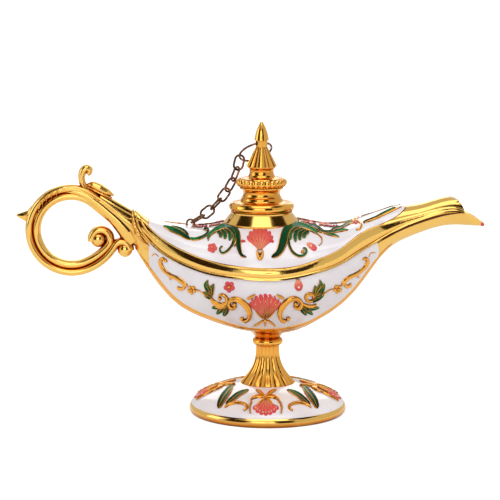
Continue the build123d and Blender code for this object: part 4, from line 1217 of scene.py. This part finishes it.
# %% Long leaf over the handle, and the hook at the spur
# Pixels of the middle plane, then half widths and half depths in mm.
LONG_LEAF = (
    ((60, 194.6), (68, 191.6), (78, 191.8), (88, 196), (98, 203), (108, 211.4), (118, 220.6),
     (127, 231), (134, 242)),
    (0.2, 1.6, 2.3, 2.7, 2.9, 3.2, 3.7, 4.2, 3.6),
    (0.6, 2.9, 3.6, 3.9, 4.1, 4.3, 4.4, 4.3, 3.2),
)
HOOK = (
    ((17.4, 213), (21, 216.4), (26, 217.2), (31, 214.4), (36, 208)),
    (0.1, 1, 1.8, 2.4, 2.2),
    (0.2, 1.1, 1.7, 2.3, 2.4),
)
joined("handle_leaf", [smooth_rod("blade", *LONG_LEAF), smooth_rod("hook", *HOOK)])

# %% Lines along the strap
# Pixels of the picture, then half widths in mm.
STRAP_LINES = (
    (((62, 189.6), (70, 187.6), (80, 188.4), (92, 194), (104, 202), (116, 210.6), (127, 217.6),
      (132, 219)),
     (0.2, 0.5, 0.6, 0.6, 0.6, 0.7, 0.6, 0.3)),
    (((133, 209.8), (133, 217), (135, 225.5), (138.6, 233.6), (143.3, 241.2), (149.4, 246)),
     (0.3, 0.8, 0.9, 0.9, 0.8, 0.4)),
    (((136.4, 214.4), (137, 220), (139, 226.7), (144, 235), (150.6, 242.4)),
     (0.2, 0.5, 0.6, 0.5, 0.3)),
    (((140.6, 216), (142.4, 223), (147, 231), (153, 238)), (0.2, 0.5, 0.5, 0.2)),
)
body_seat = cast_front(skin("handle", "cover", "bowl", "cover_enamel", "bowl_enamel"))
joined("handle_lines", [line for pixels, across in STRAP_LINES
                        for line in laid("line", body_seat, pixels, across)])

# %% Thumb piece: a curl, its leaf and the leaf's rib
THUMB_CURL = (
    ((88, 189.4), (84.4, 186.6), (82, 181), (81.8, 175.4), (83.4, 170.6), (86.4, 168), (89, 169),
     (89.4, 171.8), (87.4, 173.8)),
    (1.5, 1.6, 1.5, 1.5, 1.7, 1.8, 1.7, 1.5, 1.2),
    (2, 2.2, 2.3, 2.5, 2.9, 3, 2.8, 2.4, 1.8),
)
THUMB_LEAF = (
    ((85, 186), (92, 184.8), (99, 187.6), (106, 191.4), (114, 195.4)),
    (0.4, 1.7, 2, 1.7, 0.3),
    (0.8, 2.8, 3.4, 2.8, 0.5),
)
THUMB_RIB = (
    ((86, 186.4), (93, 189), (101, 193), (112, 198)),
    (0.4, 0.9, 1, 0.4),
    (1.5, 2.6, 2.8, 1),
)
thumb = joined("thumb_scroll", [smooth_rod("curl", *THUMB_CURL), smooth_rod("leaf", *THUMB_LEAF),
                                smooth_rod("leaf_rib", *THUMB_RIB)])
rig.replaces(thumb, "thumb_leaf")

# %% [markdown]
# ### Joints between the castings
# Cover and bowl are cast apart and meet along the spout. The thin dark line under the spout's lip
# is painted shadow: a dark strip laid there for the shade of the gap between the lip and the bowl.
# Along the keel a gold bead hides the edge of the bowl's enamel. It is a strip of relief, because a
# bead that is bent along so long an edge shows every unevenness of the line that it follows.

# %% Painted shadow under the spout's lip
# The dark browns below are painted shadow for the gap under the spout's lip.
SHADOW_BROWN, SHADOW_DARK_BROWN = written(104, 62, 22), written(58, 32, 12)
SHADOW_MOTTLE_SIZE, SHADOW_MOTTLE_DEPTH, SHADOW_ROUGH, SHADOW_MOTTLE_ROUGH = 0.0012, 0.00002, 0.34, 0.12
LIP_LINE = ((377, 243), (386, 237.6), (398, 231), (412, 225), (428, 219.4), (445, 214.8),
            (462, 212.6))
LIP_WIDTHS = (0.3, 0.5, 0.5, 0.5, 0.5, 0.4, 0.2)


def painted_shadow_finish():
    f = Finish("dark_patina")
    shadow_mottle = f.noise(SHADOW_MOTTLE_SIZE, detail=3)
    return f.surface(Base_Color=f.tint(shadow_mottle, SHADOW_DARK_BROWN, SHADOW_BROWN), Metallic=0.6,
                     Roughness=SHADOW_ROUGH + shadow_mottle * SHADOW_MOTTLE_ROUGH,
                     Normal=f.bump(shadow_mottle, SHADOW_MOTTLE_DEPTH))


lip_seat = cast_front(skin("cover", "bowl"))
# A dark strip of painted shadow along the lip.
joined("spout_joint", laid("joint", lip_seat, LIP_LINE, LIP_WIDTHS), painted_shadow_finish())

# %% Keel line
# In front of the stem the line crosses the belly above the lowest outline, so it is given there.
CROSSING = ((208, 320), (222, 323.6), (236, 326.6), (250, 329.2), (265, 330), (280, 329.4),
            (295, 326.6), (306, 323.4), (316, 320))
KEEL_LEFT, KEEL_RIGHT, KEEL_STEP = 140, 394, 3
BELOW_BOWL, ROW_STEP, ROW_COUNT = 348, 0.5, 300
NEIGHBOURS, KEEL_INSET = (-4, -2, 0, 2, 4), 2
KEEL_WIDTHS, KEEL_LIFT = (0.6, 2.2, 2.2, 2.1, 1.9, 1.4, 1.2, 1.2, 1.4, 1.4, 1.4, 1.3, 0.5), 0.4
UNDER_ROWS, UNDER_PAST, UNDER_LIFT, UNDER_SHADE = 6, 1, 0.15, 0.5
hull_skin = skin("bowl_enamel", "bowl")


def outline_low(u):
    """The lowest pixel of the bowl in that column of the picture."""
    for k in range(ROW_COUNT):
        v = BELOW_BOWL - k * ROW_STEP
        if hull_skin.ray_cast(EYE, sight(u, v))[0]:
            return v


def keel_at(u):
    """The pixel row of the keel line in that column."""
    rows = [outline_low(u + side) for side in NEIGHBOURS]
    low = sum(rows) / len(rows) - KEEL_INSET
    for (u1, v1), (u2, v2) in zip(CROSSING, CROSSING[1:]):
        if u1 <= u <= u2:
            low = min(low, v1 + (v2 - v1) * (u - u1) / (u2 - u1))
    return low


def under_row(u):
    """Points from the keel line down to the lowest outline, in one column."""
    top, drop = keel_at(u), outline_low(u) + UNDER_PAST - keel_at(u)
    return [(u, top + drop * k / UNDER_ROWS, UNDER_LIFT) for k in range(UNDER_ROWS + 1)]


keel = Relief(hull_seat)
columns = [KEEL_LEFT + KEEL_STEP * k for k in range((KEEL_RIGHT - KEEL_LEFT) // KEEL_STEP + 1)]
strip(keel, WIRE, KEEL_WIDTHS, KEEL_LIFT, [(u, keel_at(u)) for u in columns], taper=(0.03, 0.03))
under = [under_row(u) for u in columns if CROSSING[0][0] < u < CROSSING[-1][0]]
shades = [[UNDER_SHADE] * (UNDER_ROWS + 1)] * len(under)
keel.grid(under, [[METAL] * UNDER_ROWS] * len(under), shades)
keel.make("keel_line", [FRONT, BACK])

# %% [markdown]
# ## Size
# The dressed lamp has to stay in the box of its castings, so both boxes are written down.

# %% Write the sizes and finish
with open("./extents.json", "w") as f:
    json.dump({"cad": [list(c) for c in cad_box], "visual": [list(c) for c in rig.bounds()]}, f)
